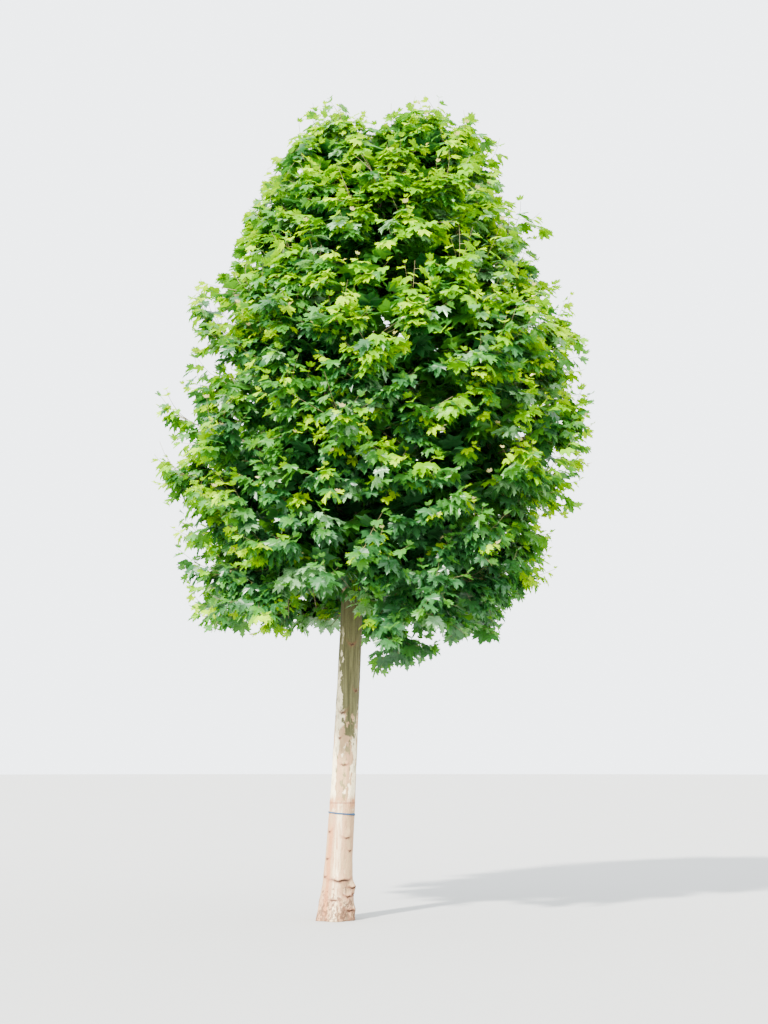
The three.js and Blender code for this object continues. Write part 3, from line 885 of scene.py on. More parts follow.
        # Growing shoots with their bright tints are fewer low in the crown, as painted shade, and follow
        # the painted light of the place.
        growing = self.flush_share * mix(self.shaded_flush, 1, self.risen(height)) + self.painted_light_flush * painted_light
        flush = crossing or numbers.random() < growing
        by_rank = np.array(self.flush_sizes if flush else self.sizes_by_rank)
        grown = by_rank[np.minimum(rank, len(by_rank) - 1)]
        inner = depth > self.inner_depths[0]
        sizes = np.where(inner, self.inner_leaf, grown)
        sizes = sizes * (self.least_size + self.spread * numbers.random(count))
        full = numbers.integers(0, LeafForm.YOUNG.value, count)
        forms = np.where(rank < self.half_open, LeafForm.YOUNG.value, full)
        forms = np.where(inner, LeafForm.PLAIN.value, forms)
        tints = self.tints(rank, height, depth, painted_light, flush, numbers)
        level = np.cos(pitch)
        blade = np.stack([np.cos(heading) * level, np.sin(heading) * level, -np.sin(pitch)], axis=1)
        end, middle, half_width = (share * sizes[:, None] for share in self.blade_share)
        ends, middles = feet + blade * end, feet + blade * middle
        keep = self.within(ends, middles, half_width, depth) & self.clear_of_trunk(feet, middles, ends)
        allowed = np.where(middles[:, 2] > self.window_shade, self.shade_leaves, self.window_leaves)
        hiding = self.in_window(middles) & (numbers.random(count) > allowed)
        keep &= crossing | ~hiding
        return np.column_stack([feet, roll, pitch, heading, sizes, forms, tints])[keep]

    def within(
        self, ends: np.ndarray, middles: np.ndarray, half_width: np.ndarray, depth: float
    ) -> np.ndarray:
        """Test which leaves of a shoot keep within the crown's reach.

        Args:
            ends: Where the blades end.
            middles: Their middles.
            half_width: Half of each one's width.
            depth: How deep the shoot's tip lies under the outline.

        Returns:
            True for each leaf that does.
        """
        slack, above = (self.proud_slack, self.proud_above) if depth < 0 else (self.slack, 0)
        raised = ends + self.hanging(ends[:, 0])[:, None] * UP
        keep = self.shape.inside(raised, slack) & (raised[:, 2] > self.lowest)
        keep &= ends[:, 2] < self.ceiling(ends) + above
        low_corner, high_corner = np.array([[-self.box_slack], [self.box_slack]]) + CAD_BOX
        keep &= (np.minimum(ends, middles - half_width) > low_corner).all(axis=1)
        return keep & (np.maximum(ends, middles + half_width) < high_corner).all(axis=1)

    def clear_of_trunk(self, *places: np.ndarray) -> np.ndarray:
        """Test which leaves stand clear of the trunk at each of their places."""
        clear = True
        for points in places:
            axis = self.trunk.axis(points[:, 2])
            away = np.hypot(points[:, 0] - axis[:, 0], points[:, 1] - axis[:, 1])
            apart = away > self.trunk.radius(points[:, 2]) + self.trunk_clear
            clear &= apart | (points[:, 2] > self.trunk.top)
        return clear

    def tints(
        self,
        rank: np.ndarray,
        height: float,
        depth: float,
        painted_light: float,
        flush: bool,
        numbers: np.random.Generator,
    ) -> np.ndarray:
        """Deal out colours to the leaves of one shoot, with painted light and shade by its height, depth
        and place.

        Args:
            rank: The leaves' places from the tip.
            height: How high the shoot's tip stands.
            depth: How deep it lies under the outline.
            painted_light: How much painted light the tints get there, below 0 where they paint shade.
            flush: Whether the shoot is growing, with young leaves at its end.
            numbers: The source of chance.

        Returns:
            A tint's number for each leaf.
        """
        if depth > self.inner_depths[0]:
            # Inner leaves are mostly deep, as painted shade, less so where the tints paint light.
            inner = Tint.DEEP if numbers.random() < self.inner_deep - painted_light else Tint.MID
            return np.full(len(rank), inner.value)
        risen = self.risen(height)
        # Painted light: darker tints paint shade low, deep and at dark places, lighter tints paint sunlight
        # higher up.
        by_chance, each_metre, above_base, plain = self.light
        light = by_chance * numbers.random() + each_metre * (height - self.shape.base)
        light = light + above_base * risen + plain
        light += painted_light - self.light_lost * max(depth, 0)
        old = Tint.MID if light < self.fresh_from else Tint.FRESH
        if light < self.mid_from:
            old = Tint.DEEP
        older = {Tint.FRESH: Tint.MID, Tint.MID: Tint.DEEP}.get(old, old)
        # Some shoots' older leaves take a painted sheen of the sky, fewer low in the crown.
        if numbers.random() < self.painted_sheen_share * mix(self.shaded_flush, 1, risen):
            old = older = Tint.SILVER
        tip = Tint.BUD if numbers.random() < self.bud_share else Tint.YOUNG
        newer = Tint.FRESH if light > self.newer_from else Tint.MID
        ends = (tip, Tint.YOUNG, Tint.YOUNG, Tint.FRESH, newer) if flush else (newer, newer)
        dealt = np.where(rank < self.older_from, old.value, older.value)
        for place, tint in enumerate(ends):
            dealt[rank == place] = tint.value
        return dealt


def graph_socket(value: object) -> object:
    """Give the node socket behind a channel, or the value itself."""
    return value.socket if isinstance(value, Channel) else value


class NodeGraph:
    """Adds nodes to a node tree, each with its settings first and then its sockets."""

    def __init__(self, tree: bpy.types.NodeTree) -> None:
        """Work on one tree."""
        self.tree = tree

    def node(
        self,
        kind: str,
        settings: dict[str, object] | None = None,
        sockets: dict[str | int, object] | None = None,
    ) -> bpy.types.Node:
        """Add a node.

        Args:
            kind: The node's type.
            settings: Its settings by name.
            sockets: Values, channels or sockets for its inputs, by name or place.

        Returns:
            The node.
        """
        made = self.tree.nodes.new(kind)
        for name, value in (settings or {}).items():
            setattr(made, name, value)
        for key, value in (sockets or {}).items():
            source = graph_socket(value)
            if isinstance(source, bpy.types.NodeSocket):
                self.tree.links.new(source, made.inputs[key])
            else:
                made.inputs[key].default_value = source
        return made

    def channel(self, node: bpy.types.Node, output: str | int = 0) -> "Channel":
        """Wrap a node's output as a channel."""
        return Channel(self, node.outputs[output])


@dataclass(frozen=True)
class Channel:
    """A number that changes over a surface. Python's operators on it add Math nodes."""

    graph: NodeGraph
    socket: bpy.types.NodeSocket

    def maths(self, operation: str, *values: object) -> "Channel":
        """Add a Math node on values in order."""
        node = self.graph.node("ShaderNodeMath", {"operation": operation}, dict(enumerate(values)))
        return self.graph.channel(node)

    def __add__(self, other: object) -> "Channel":
        """Add."""
        return self.maths("ADD", self, other)

    def __radd__(self, other: object) -> "Channel":
        """Add, from the right."""
        return self.maths("ADD", other, self)

    def __sub__(self, other: object) -> "Channel":
        """Subtract."""
        return self.maths("SUBTRACT", self, other)

    def __rsub__(self, other: object) -> "Channel":
        """Subtract from a number."""
        return self.maths("SUBTRACT", other, self)

    def __mul__(self, other: object) -> "Channel":
        """Multiply."""
        return self.maths("MULTIPLY", self, other)

    def __rmul__(self, other: object) -> "Channel":
        """Multiply, from the right."""
        return self.maths("MULTIPLY", other, self)

    def __truediv__(self, other: object) -> "Channel":
        """Divide."""
        return self.maths("DIVIDE", self, other)

    def most(self, other: object) -> "Channel":
        """Give the larger of this and another value."""
        return self.maths("MAXIMUM", self, other)

    def size(self) -> "Channel":
        """Give the value without its sign."""
        return self.maths("ABSOLUTE", self)

    def sine(self) -> "Channel":
        """Give the sine of an angle."""
        return self.maths("SINE", self)

    def step(self, low: float, high: float) -> "Channel":
        """Rise smoothly from 0 at low to 1 at high. With low above high it falls instead."""
        edges = {"Value": self, "From Min": min(low, high), "From Max": max(low, high)}
        ends = {"To Min": float(low > high), "To Max": float(low <= high)}
        node = self.graph.node("ShaderNodeMapRange", {"interpolation_type": "SMOOTHSTEP"}, edges | ends)
        return self.graph.channel(node)


class Finishing(NodeGraph):
    """The nodes of one material, on Object coordinates in metres."""

    def __init__(self, name: str) -> None:
        """Start a material with an empty node tree."""
        self.material = bpy.data.materials.new(name)
        self.material.use_nodes = True
        super().__init__(self.material.node_tree)
        self.tree.nodes.clear()
        self.place = self.node("ShaderNodeTexCoord").outputs["Object"]

    def axes(self) -> tuple[Channel, Channel, Channel]:
        """Give the three Object coordinates."""
        split = self.node("ShaderNodeSeparateXYZ", None, {0: self.place})
        return self.channel(split, 0), self.channel(split, 1), self.channel(split, 2)

    def scaled(self, scale: Triple) -> bpy.types.NodeSocket:
        """Give Object coordinates scaled along each axis."""
        node = self.node("ShaderNodeVectorMath", {"operation": "MULTIPLY"}, {0: self.place, 1: scale})
        return node.outputs[0]

    def noise(self, scale: Triple, detail: float = 3.0, distortion: float = 0.0) -> Channel:
        """Give soft noise with so many waves for each metre along each axis."""
        sockets = {"Vector": self.scaled(scale), "Scale": 1.0, "Detail": detail, "Distortion": distortion}
        return self.channel(self.node("ShaderNodeTexNoise", None, sockets), 0)

    def flakes(self, scale: Triple, warp: float) -> tuple[Channel, Channel]:
        """Give irregular flakes with wavy borders.

        Args:
            scale: How many flakes for each metre along each axis.
            warp: How far their borders wander, as a share of a flake.

        Returns:
            A chance number for each flake, and the distance from its border.
        """
        place = self.scaled(scale)
        wander = self.node("ShaderNodeTexNoise", None, {"Vector": place, "Scale": 1.7, "Detail": 4.0})
        sockets = {0: wander.outputs[1], 1: (warp, warp, warp), 2: place}
        warped = self.node("ShaderNodeVectorMath", {"operation": "MULTIPLY_ADD"}, sockets).outputs[0]
        sockets = {"Vector": warped, "Scale": 1.0}
        cells = self.node("ShaderNodeTexVoronoi", None, sockets)
        borders = self.node("ShaderNodeTexVoronoi", {"feature": "DISTANCE_TO_EDGE"}, sockets)
        chance = self.node("ShaderNodeSeparateColor", None, {0: cells.outputs["Color"]})
        return self.channel(chance, 0), self.channel(borders, 0)

    def attribute(self, name: str) -> Channel:
        """Give a number stored on the piece's points."""
        node = self.node("ShaderNodeAttribute", {"attribute_name": name})
        return self.channel(node, "Fac")

    def blend(self, share: object, first: object, second: object) -> bpy.types.NodeSocket:
        """Blend two colours, each a plain colour or a socket."""
        colours = [(*c, 1.0) if isinstance(c, tuple) else c for c in (first, second)]
        sockets = {0: share, 6: colours[0], 7: colours[1]}
        return self.node("ShaderNodeMix", {"data_type": "RGBA"}, sockets).outputs[2]

    def layered(self, base: object, *layers: tuple[object, object]) -> bpy.types.NodeSocket:
        """Lay colours over a base in turn.

        Args:
            base: The lowest colour.
            layers: The share of each further colour with the colour itself, from below.

        Returns:
            The colour that shows.
        """
        for share, colour in layers:
            base = self.blend(share, base, colour)
        return base

    def bump(self, height: Channel, strength: float, distance: float) -> bpy.types.NodeSocket:
        """Turn a height into a bump."""
        sockets = {"Strength": strength, "Distance": distance, "Height": height}
        return self.node("ShaderNodeBump", None, sockets).outputs[0]

    def skin(
        self, colour: object, roughness: object, normal: object = None, gloss: float = 0.5
    ) -> bpy.types.NodeSocket:
        """Give a surface shader.

        Args:
            colour: Its colour.
            roughness: Its roughness, a number or a channel.
            normal: Its bump, where it has one.
            gloss: How much it shines.

        Returns:
            The shader's socket.
        """
        sockets = {"Base Color": colour, "Roughness": roughness, "Specular IOR Level": gloss}
        if normal is not None:
            sockets["Normal"] = normal
        return self.node("ShaderNodeBsdfPrincipled", None, sockets).outputs[0]

    def close(self, surface: bpy.types.NodeSocket) -> bpy.types.Material:
        """Set the surface shader and give the material."""
        self.node("ShaderNodeOutputMaterial", None, {"Surface": surface})
        return self.material


@dataclass(frozen=True)
class LeafFinish:
    """A leaf's finish: its colour in light and where light comes through, and its gloss."""

    name: str
    colour: Colour
    glow: Colour
    roughness: float = 0.36
    glow_share: float = 0.30
    gloss: float = 0.75
    patch_shades: tuple[float, float] = (0.78, 1.2)
    patch_share: float = 0.75
    fine_share: float = 0.25
    roughness_spread: float = 0.25

    def build(self) -> bpy.types.Material:
        """Build the material."""
        finishing = Finishing(self.name)
        patches = finishing.noise((7.0, 7.0, 7.0), 2.0).step(0.3, 0.7)
        fine = finishing.noise((90.0, 90.0, 90.0), 2.0)
        darker, lighter = (tuple(min(shade * c, 1.0) for c in self.colour) for shade in self.patch_shades)
        share = patches * self.patch_share + fine * self.fine_share
        colour = finishing.blend(share, darker, lighter)
        roughness = (fine - 0.5) * self.roughness_spread + self.roughness
        blade = finishing.skin(colour, roughness, finishing.bump(fine, 0.25, 0.002), self.gloss)
        glow = finishing.node("ShaderNodeBsdfTranslucent", None, {"Color": (*self.glow, 1.0)})
        sockets = {0: self.glow_share, 1: blade, 2: glow.outputs[0]}
        return finishing.close(finishing.node("ShaderNodeMixShader", None, sockets).outputs[0])


LEAF_FINISHES = {
    # The deep and mid tints are the leaves' own greens and also painted shade, the fresh tint is new
    # leaves' green and also painted sunlight.
    Tint.DEEP: LeafFinish("leaf_deep", (0.042, 0.138, 0.050), (0.13, 0.38, 0.06), 0.36, 0.32),
    Tint.MID: LeafFinish("leaf_mid", (0.072, 0.224, 0.045), (0.22, 0.52, 0.04), 0.40, 0.32, 0.65),
    Tint.FRESH: LeafFinish("leaf_fresh", (0.168, 0.385, 0.016), (0.42, 0.72, 0.02), 0.44, 0.32, 0.35),
    # The silver tint is a painted sheen of the sky on glossy leaves.
    Tint.SILVER: LeafFinish("leaf_silver", (0.240, 0.420, 0.220), (0.26, 0.52, 0.12), 0.28),
    Tint.YOUNG: LeafFinish("leaf_young", (0.375, 0.590, 0.020), (0.54, 0.82, 0.02), 0.52, 0.38, 0.22),
    Tint.BUD: LeafFinish("leaf_bud", (0.850, 0.740, 0.400), (0.80, 0.66, 0.20), 0.55, 0.30, 0.40),
}


@dataclass(frozen=True)
class TwigFinish:
    """The finish of twigs and leaf stalks: a smooth skin with faint streaks."""

    name: str
    colour: Colour
    pale: Colour
    roughness: float = 0.6

    def build(self) -> bpy.types.Material:
        """Build the material."""
        finishing = Finishing(self.name)
        streaks = finishing.noise((60.0, 60.0, 25.0), 3.0)
        colour = finishing.blend(streaks.step(0.35, 0.7), self.colour, self.pale)
        roughness = (streaks - 0.5) * 0.2 + self.roughness
        return finishing.close(finishing.skin(colour, roughness, finishing.bump(streaks, 0.3, 0.003)))


TWIG_FINISH = TwigFinish("twig_bark", (0.16, 0.13, 0.06), (0.30, 0.26, 0.14))
STALK_FINISH = TwigFinish("leaf_stalk", (0.36, 0.40, 0.13), (0.52, 0.50, 0.22))
BOUGH_FINISH = TwigFinish("bough_bark", (0.13, 0.11, 0.065), (0.27, 0.24, 0.15), 0.8)


@dataclass(frozen=True)
class BarkFields:
    """What the layers of the trunk's bark are made from."""

    z: Channel
    across: Channel  # from -1 at the trunk's left edge to 1 at its right edge
    facing: Channel  # 1 towards the front
    chance: Channel
    border: Channel
    small: Channel
    small_border: Channel
    streaks: Channel
    broad: Channel
    ragged: Channel
    grain: Channel

    @cached_property
    def flank(self) -> Channel:
        """Give where the bark is palest: at both sides, and at the left above the middle."""
        left = self.across.step(0.1, -0.35) * self.z.step(1.88, 2.05)
        return self.across.size().step(0.35, 0.8).most(left) * (self.facing * 0.5 + 0.5)

    @cached_property
    def cream(self) -> Channel:
        """Give the cream flakes."""
        flakes = self.chance * 0.45 + self.flank * 0.5
        return (flakes + (self.broad - 0.5) * 0.5 + (self.ragged - 0.5) * 0.5).step(0.46, 0.50)


@dataclass(frozen=True)
class TrunkFinish:
    """The trunk's flaking bark: beige pink below, cream at the flanks, and under the crown a painted shadow
    of the crown in olive grey, darker close under it.
    """

    pink: Colour = (0.53, 0.320, 0.190)
    beige: Colour = (0.52, 0.370, 0.205)
    cream: Colour = (0.92, 0.800, 0.540)
    orange: Colour = (0.50, 0.225, 0.100)
    # olive grey: the bark's own, for its spots, and the colour of the painted shadow under the crown
    olive: Colour = (0.228, 0.212, 0.098)
    # the darker painted shadow close under the crown
    crown_shadow_brown: Colour = (0.105, 0.100, 0.044)
    # the knots' own dark colour, also painted shade in their creases
    pit: Colour = (0.050, 0.025, 0.016)
    rust: Colour = (0.30, 0.135, 0.080)
    crumb: Colour = (0.135, 0.070, 0.040)
    band_height: float = 1.06
    old_band: float = 1.167
    half_girth: float = 0.125
    shade_height: float = 1.90  # where the painted shadow of the crown begins, at the middle
    shade_rise: float = 0.60  # how much higher it begins at the left
    # the painted shadow turns darker just below this height
    crown_height: float = 3.1
    shape: TrunkShape = field(default_factory=TrunkShape)

    def fields(self, finishing: Finishing) -> BarkFields:
        """Set up what the layers are made from.

        Args:
            finishing: The material's nodes.

        Returns:
            The channels.
        """
        x, y, z = finishing.axes()
        bow = (z * (math.pi / self.shape.crown_break)).sine() * self.shape.sweep
        return BarkFields(
            z,
            (x - z * self.shape.lean - bow * 0.5) / self.half_girth,
            (y / self.half_girth).step(0.1, -0.5),
            *finishing.flakes((16.0, 16.0, 6.5), 0.9),
            *finishing.flakes((38.0, 38.0, 17.0), 1.1),
            streaks=finishing.noise((55.0, 55.0, 2.4), 4.0, 0.4),
            broad=finishing.noise((5.0, 5.0, 1.6), 3.0),
            ragged=finishing.noise((22.0, 22.0, 14.0), 5.0),
            grain=finishing.noise((170.0, 170.0, 70.0), 4.0),
        )

    def low_bark(self, finishing: Finishing, bark: BarkFields) -> bpy.types.NodeSocket:
        """Colour the bark below the band: streaked pink, orange at the left, crumbling at the foot.

        Args:
            finishing: The material's nodes.
            bark: What the layers are made from.

        Returns:
            The colour.
        """
        z, across, streaks, broad, ragged = bark.z, bark.across, bark.streaks, bark.broad, bark.ragged
        pale_streak = (across + 0.12).size().step(0.42, 0.08) * streaks.step(0.3, 0.6)
        orange = across.step(-0.4, -0.85) * broad.step(0.35, 0.6) * (bark.facing * 0.35 + 0.2)
        seam = (across + 0.82 + (broad - 0.5) * 0.5).size().step(0.22, 0.08) * z.step(1.0, 0.88)
        blotches = (ragged + (broad - 0.5) * 0.8).step(0.56, 0.64) * z.step(0.75, 0.1)
        specks = bark.small.step(0.46, 0.54) * ragged.step(0.36, 0.46) * z.step(0.42, 0.12)
        crumbs = finishing.noise((40.0, 40.0, 30.0), 4.0) + ragged * 0.6 + z.step(0.5, 0.0) * 0.30
        return finishing.layered(
            finishing.blend(streaks.step(0.35, 0.68), self.pink, self.beige),
            (pale_streak * 0.75, self.cream),
            (orange, self.orange),
            (seam * 0.75, self.orange),
            (blotches * 0.3, self.cream),
            (specks * 0.5, self.rust),
            (crumbs.step(1.02, 1.07) * 0.7, self.crumb),
        )

    def stem_bark(self, finishing: Finishing, bark: BarkFields) -> bpy.types.NodeSocket:
        """Colour the bark above the band: streaked pink with cream flakes and olive spots.

        Args:
            finishing: The material's nodes.
            bark: What the layers are made from.

        Returns:
            The colour.
        """
        spots = (bark.small + (bark.broad - 0.5) * 0.6).step(0.86, 0.89) * (1 - bark.cream * 0.5)
        return finishing.layered(
            finishing.blend(bark.streaks.step(0.3, 0.75), self.beige, self.pink),
            (bark.cream, self.cream),
            (spots * 0.8, self.olive),
        )

    def shade(self, bark: BarkFields) -> Channel:
        """Give where the crown's shadow is painted on the bark: under the crown, from higher up at the
        sides, but for flecks.

        Args:
            bark: What the layers are made from.

        Returns:
            Its share.
        """
        left = (bark.across * -1.0).most(0.0)
        edge = left * self.shade_rise + bark.across.step(0.72, 1.05) * 0.28 + self.shade_height
        rise = bark.z - edge + (bark.chance - 0.5) * 0.16 + (bark.small - 0.5) * 0.20
        shade = (rise + (bark.ragged - 0.5) * 0.5).step(-0.01, 0.03)
        # Flecks are gaps in the painted shadow, mostly at the left, where the paler bark shows.
        flecks = bark.small * 0.6 + left * (bark.facing * 0.35 + 0.25) + (bark.ragged - 0.5) * 0.6
        flecks = flecks.step(0.80, 0.85) * bark.z.step(3.05, 2.75)
        return shade * (1 - flecks * 0.9)

    def painted_shadow_bark(self, finishing: Finishing, bark: BarkFields) -> bpy.types.NodeSocket:
        """Colour the painted shadow of the crown: olive streaked with the darker shadow colour, which takes
        over more near the crown.
        """
        browner = bark.z.step(self.crown_height - 0.45, self.crown_height) * 0.55
        olive = finishing.blend(bark.streaks.step(0.3, 0.7), self.olive, self.crown_shadow_brown)
        return finishing.blend(browner, olive, self.crown_shadow_brown)

    def build(self) -> bpy.types.Material:
        """Build the material."""
        finishing = Finishing("trunk_bark")
        bark = self.fields(finishing)
        z, ragged, grain = bark.z, bark.ragged, bark.grain
        above_band = (z + (ragged - 0.5) * 0.4).step(self.band_height + 0.02, self.band_height + 0.14)
        blush = ragged.step(0.4, 0.6) * 0.4 + bark.flank * 0.5 + 0.1
        ring = (z - self.old_band + (bark.broad - 0.5) * 0.02).size().step(0.014, 0.004)
        colour = finishing.layered(
            self.low_bark(finishing, bark),
            (above_band, self.stem_bark(finishing, bark)),
            # painted shadow of the crown
            (self.shade(bark), self.painted_shadow_bark(finishing, bark)),
            ((z - self.old_band).size().step(0.095, 0.02) * blush, self.orange),
            (ring * 0.6, self.rust),
            (finishing.attribute("halo") * 0.85, self.rust),
            # the knots' dark colour with painted shade in their creases
            (finishing.attribute("scar") * 0.9, self.pit),
        )
        mottle = finishing.blend(grain.step(0.3, 0.7), (0.82, 0.81, 0.80), (1.0, 1.0, 1.0))
        settings = {"data_type": "RGBA", "blend_type": "MULTIPLY"}
        toned = finishing.node("ShaderNodeMix", settings, {0: 1.0, 6: colour, 7: mottle}).outputs[2]
        edges = bark.border.step(0.0, 0.06) * 0.5 + bark.small_border.step(0.0, 0.08) * 0.25
        relief = edges + bark.streaks * 0.35 + grain * 0.2 - bark.cream * 0.3
        bump = finishing.bump(relief, 0.6, 0.006)
        return finishing.close(finishing.skin(toned, grain * 0.2 + 0.68, bump))


@dataclass(frozen=True)
class BandFinish:
    """The marker band's finish: blue grey plastic, paler where it is worn."""

    colour: Colour = (0.022, 0.060, 0.125)
    worn: Colour = (0.14, 0.22, 0.31)

    def build(self) -> bpy.types.Material:
        """Build the material."""
        finishing = Finishing("marker_band")
        wear = finishing.noise((70.0, 70.0, 200.0), 4.0)
        colour = finishing.blend(wear.step(0.5, 0.72), self.colour, self.worn)
        return finishing.close(finishing.skin(colour, wear * 0.3 + 0.35, finishing.bump(wear, 0.2, 0.001)))


@dataclass(frozen=True)
class FloorFinish:
    """The studio floor's finish."""

    colour: Colour = (0.40, 0.40, 0.39)

    def build(self) -> bpy.types.Material:
        """Build the material."""
        finishing = Finishing("studio_floor")
        cloud = finishing.noise((0.6, 0.6, 0.6), 2.0)
        paler = tuple(min(c * 1.03, 1.0) for c in self.colour)
        return finishing.close(finishing.skin(finishing.blend(cloud, self.colour, paler), 0.9))


class Recipe(NodeGraph):
    """A Geometry Nodes tree with named inputs, run on a carrier and turned into a plain mesh."""

    def __init__(self, name: str) -> None:
        """Start a tree that takes and gives a geometry."""
        super().__init__(bpy.data.node_groups.new(name, "GeometryNodeTree"))
        interface = self.tree.interface
        interface.new_socket("Geometry", in_out="INPUT", socket_type="NodeSocketGeometry")
        interface.new_socket("Geometry", in_out="OUTPUT", socket_type="NodeSocketGeometry")
        self.entry = self.node("NodeGroupInput")

    def named_input(self, name: str, kind: str) -> bpy.types.NodeSocket:
        """Add an input of a kind, such as Int, Float, Material or Collection, and give its socket."""
        self.tree.interface.new_socket(name, in_out="INPUT", socket_type=f"NodeSocket{kind}")
        return self.entry.outputs[name]

    def stored(self, name: str, kind: str = "FLOAT") -> bpy.types.NodeSocket:
        """Give a stored attribute of the carrier's points."""
        node = self.node("GeometryNodeInputNamedAttribute", {"data_type": kind}, {"Name": name})
        return node.outputs["Attribute"]

    def close(self, geometry: bpy.types.NodeSocket) -> None:
        """Set what the tree gives."""
        self.node("NodeGroupOutput", None, {0: geometry})

    def run(self, carrier: bpy.types.Object, values: dict[str, object]) -> bpy.types.Object:
        """Run the tree on a carrier and keep the result as its mesh.

        Args:
            carrier: The object that holds the points or lines.
            values: What each named input is set to.

        Returns:
            The carrier, with its new mesh and no modifier.
        """
        modifier = carrier.modifiers.new("grown", "NODES")
        modifier.node_group = self.tree
        for item in self.tree.interface.items_tree:
            if item.item_type == "SOCKET" and item.in_out == "INPUT" and item.name in values:
                modifier[item.identifier] = values[item.name]
        depsgraph = bpy.context.evaluated_depsgraph_get()
        mesh = bpy.data.meshes.new_from_object(carrier.evaluated_get(depsgraph), depsgraph=depsgraph)
        carrier.modifiers.clear()
        old, carrier.data = carrier.data, mesh
        bpy.data.meshes.remove(old)
        mesh.name = carrier.name
        return carrier


def new_object(
    name: str, points: np.ndarray, edges: np.ndarray | Sequence = (), faces: Sequence = ()
) -> bpy.types.Object:
    """Make a mesh object at the origin.

    Args:
        name: The object's name.
        points: Rows of points.
        edges: Pairs of point numbers.
        faces: Rings of point numbers.

    Returns:
        The object, linked to the scene.
    """
    mesh = bpy.data.meshes.new(name)
    mesh.from_pydata(np.asarray(points).tolist(), np.asarray(edges).tolist(), faces)
    made = bpy.data.objects.new(name, mesh)
    bpy.context.scene.collection.objects.link(made)
    return made


def store(made: bpy.types.Object, name: str, values: np.ndarray, kind: str = "FLOAT") -> None:
    """Store numbers or vectors on an object's points.

    Args:
        made: The object.
        name: The attribute's name.
        values: One row for each point.
        kind: The attribute's type.
    """
    attribute = made.data.attributes.new(name, kind, "POINT")
    part = "vector" if kind == "FLOAT_VECTOR" else "value"
    numbers = np.int32 if kind == "INT" else np.float32
    attribute.data.foreach_set(part, np.ascontiguousarray(values, dtype=numbers).ravel())


def tube_faces(rows: int, ring: int, first: int = 0, turned: bool = False) -> list[list[int]]:
    """Join rings of points into a closed tube.

    Args:
        rows: How many rings there are.
        ring: How many points each has.
        first: The first point's number.
        turned: Whether the points run clockwise, seen against the tube's way.

    Returns:
        The faces, with one at each end.
    """
    here = first + np.arange(ring)
    after = first + (np.arange(ring) + 1) % ring
    faces = []
    for row in range(rows - 1):
        low, high = row * ring, (row + 1) * ring
        corners = (here + low, after + low, after + high, here + high)
        corners = (corners[0], corners[3], corners[2], corners[1]) if turned else corners
        faces.extend(np.stack(corners, axis=1).tolist())
    onward, back = here.tolist(), here[::-1].tolist()
    last = (rows - 1) * ring
    start, end = (onward, back) if turned else (back, onward)
    return [*faces, start, [point + last for point in end]]


def settle(
    piece: bpy.types.Object, nodes: Sequence[str], material: bpy.types.Material | None = None
) -> None:
    """Make a finished piece ride on the tree and stand for its nodes.

    Args:
        piece: The piece.
        nodes: The nodes it stands for.
        material: Its material, where it has none yet.
    """
    if material is not None:
        piece.data.materials.append(material)
    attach(piece, BODY)
    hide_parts(*nodes)
    piece.data.calc_loop_triangles()
    LOG.info("%s: %d triangles", piece.name, len(piece.data.loop_triangles))


@dataclass(frozen=True)
class Scar:
    """A knot, pit or crease on the trunk: its place, its half sizes, and how it stands out and sinks."""

    angle: float
    height: float
    half_width: float
    half_height: float
    stand: float
    sink: float


@dataclass(frozen=True)
class ScarForm:
    """The form that all scars share, measured in each one's half sizes."""

    bow: float = 0.35  # how far its line turns up at both ends
    wave: float = 0.35
    wave_pace: float = 4.0
    lip_width: float = 1.35
    lip_height: float = 1.5
    lip_above: float = 0.55
    lip_fall: float = 1.2
    crease_height: float = 0.55
    crease_fall: float = 1.6
    crease_cut: float = 0.5  # how much of the lip it cuts through
    # how dark the crease is painted, as the knot's own colour and as shade, and how far it spreads
    dark: float = 1.5
    dark_size: float = 1.3
    dark_power: int = 4
    halo_size: float = 2.7


@dataclass(frozen=True)
class Burr:
    """A broad swelling of the trunk, as in the part."""

    angle: float
    height: float
    size: float
    stand: float


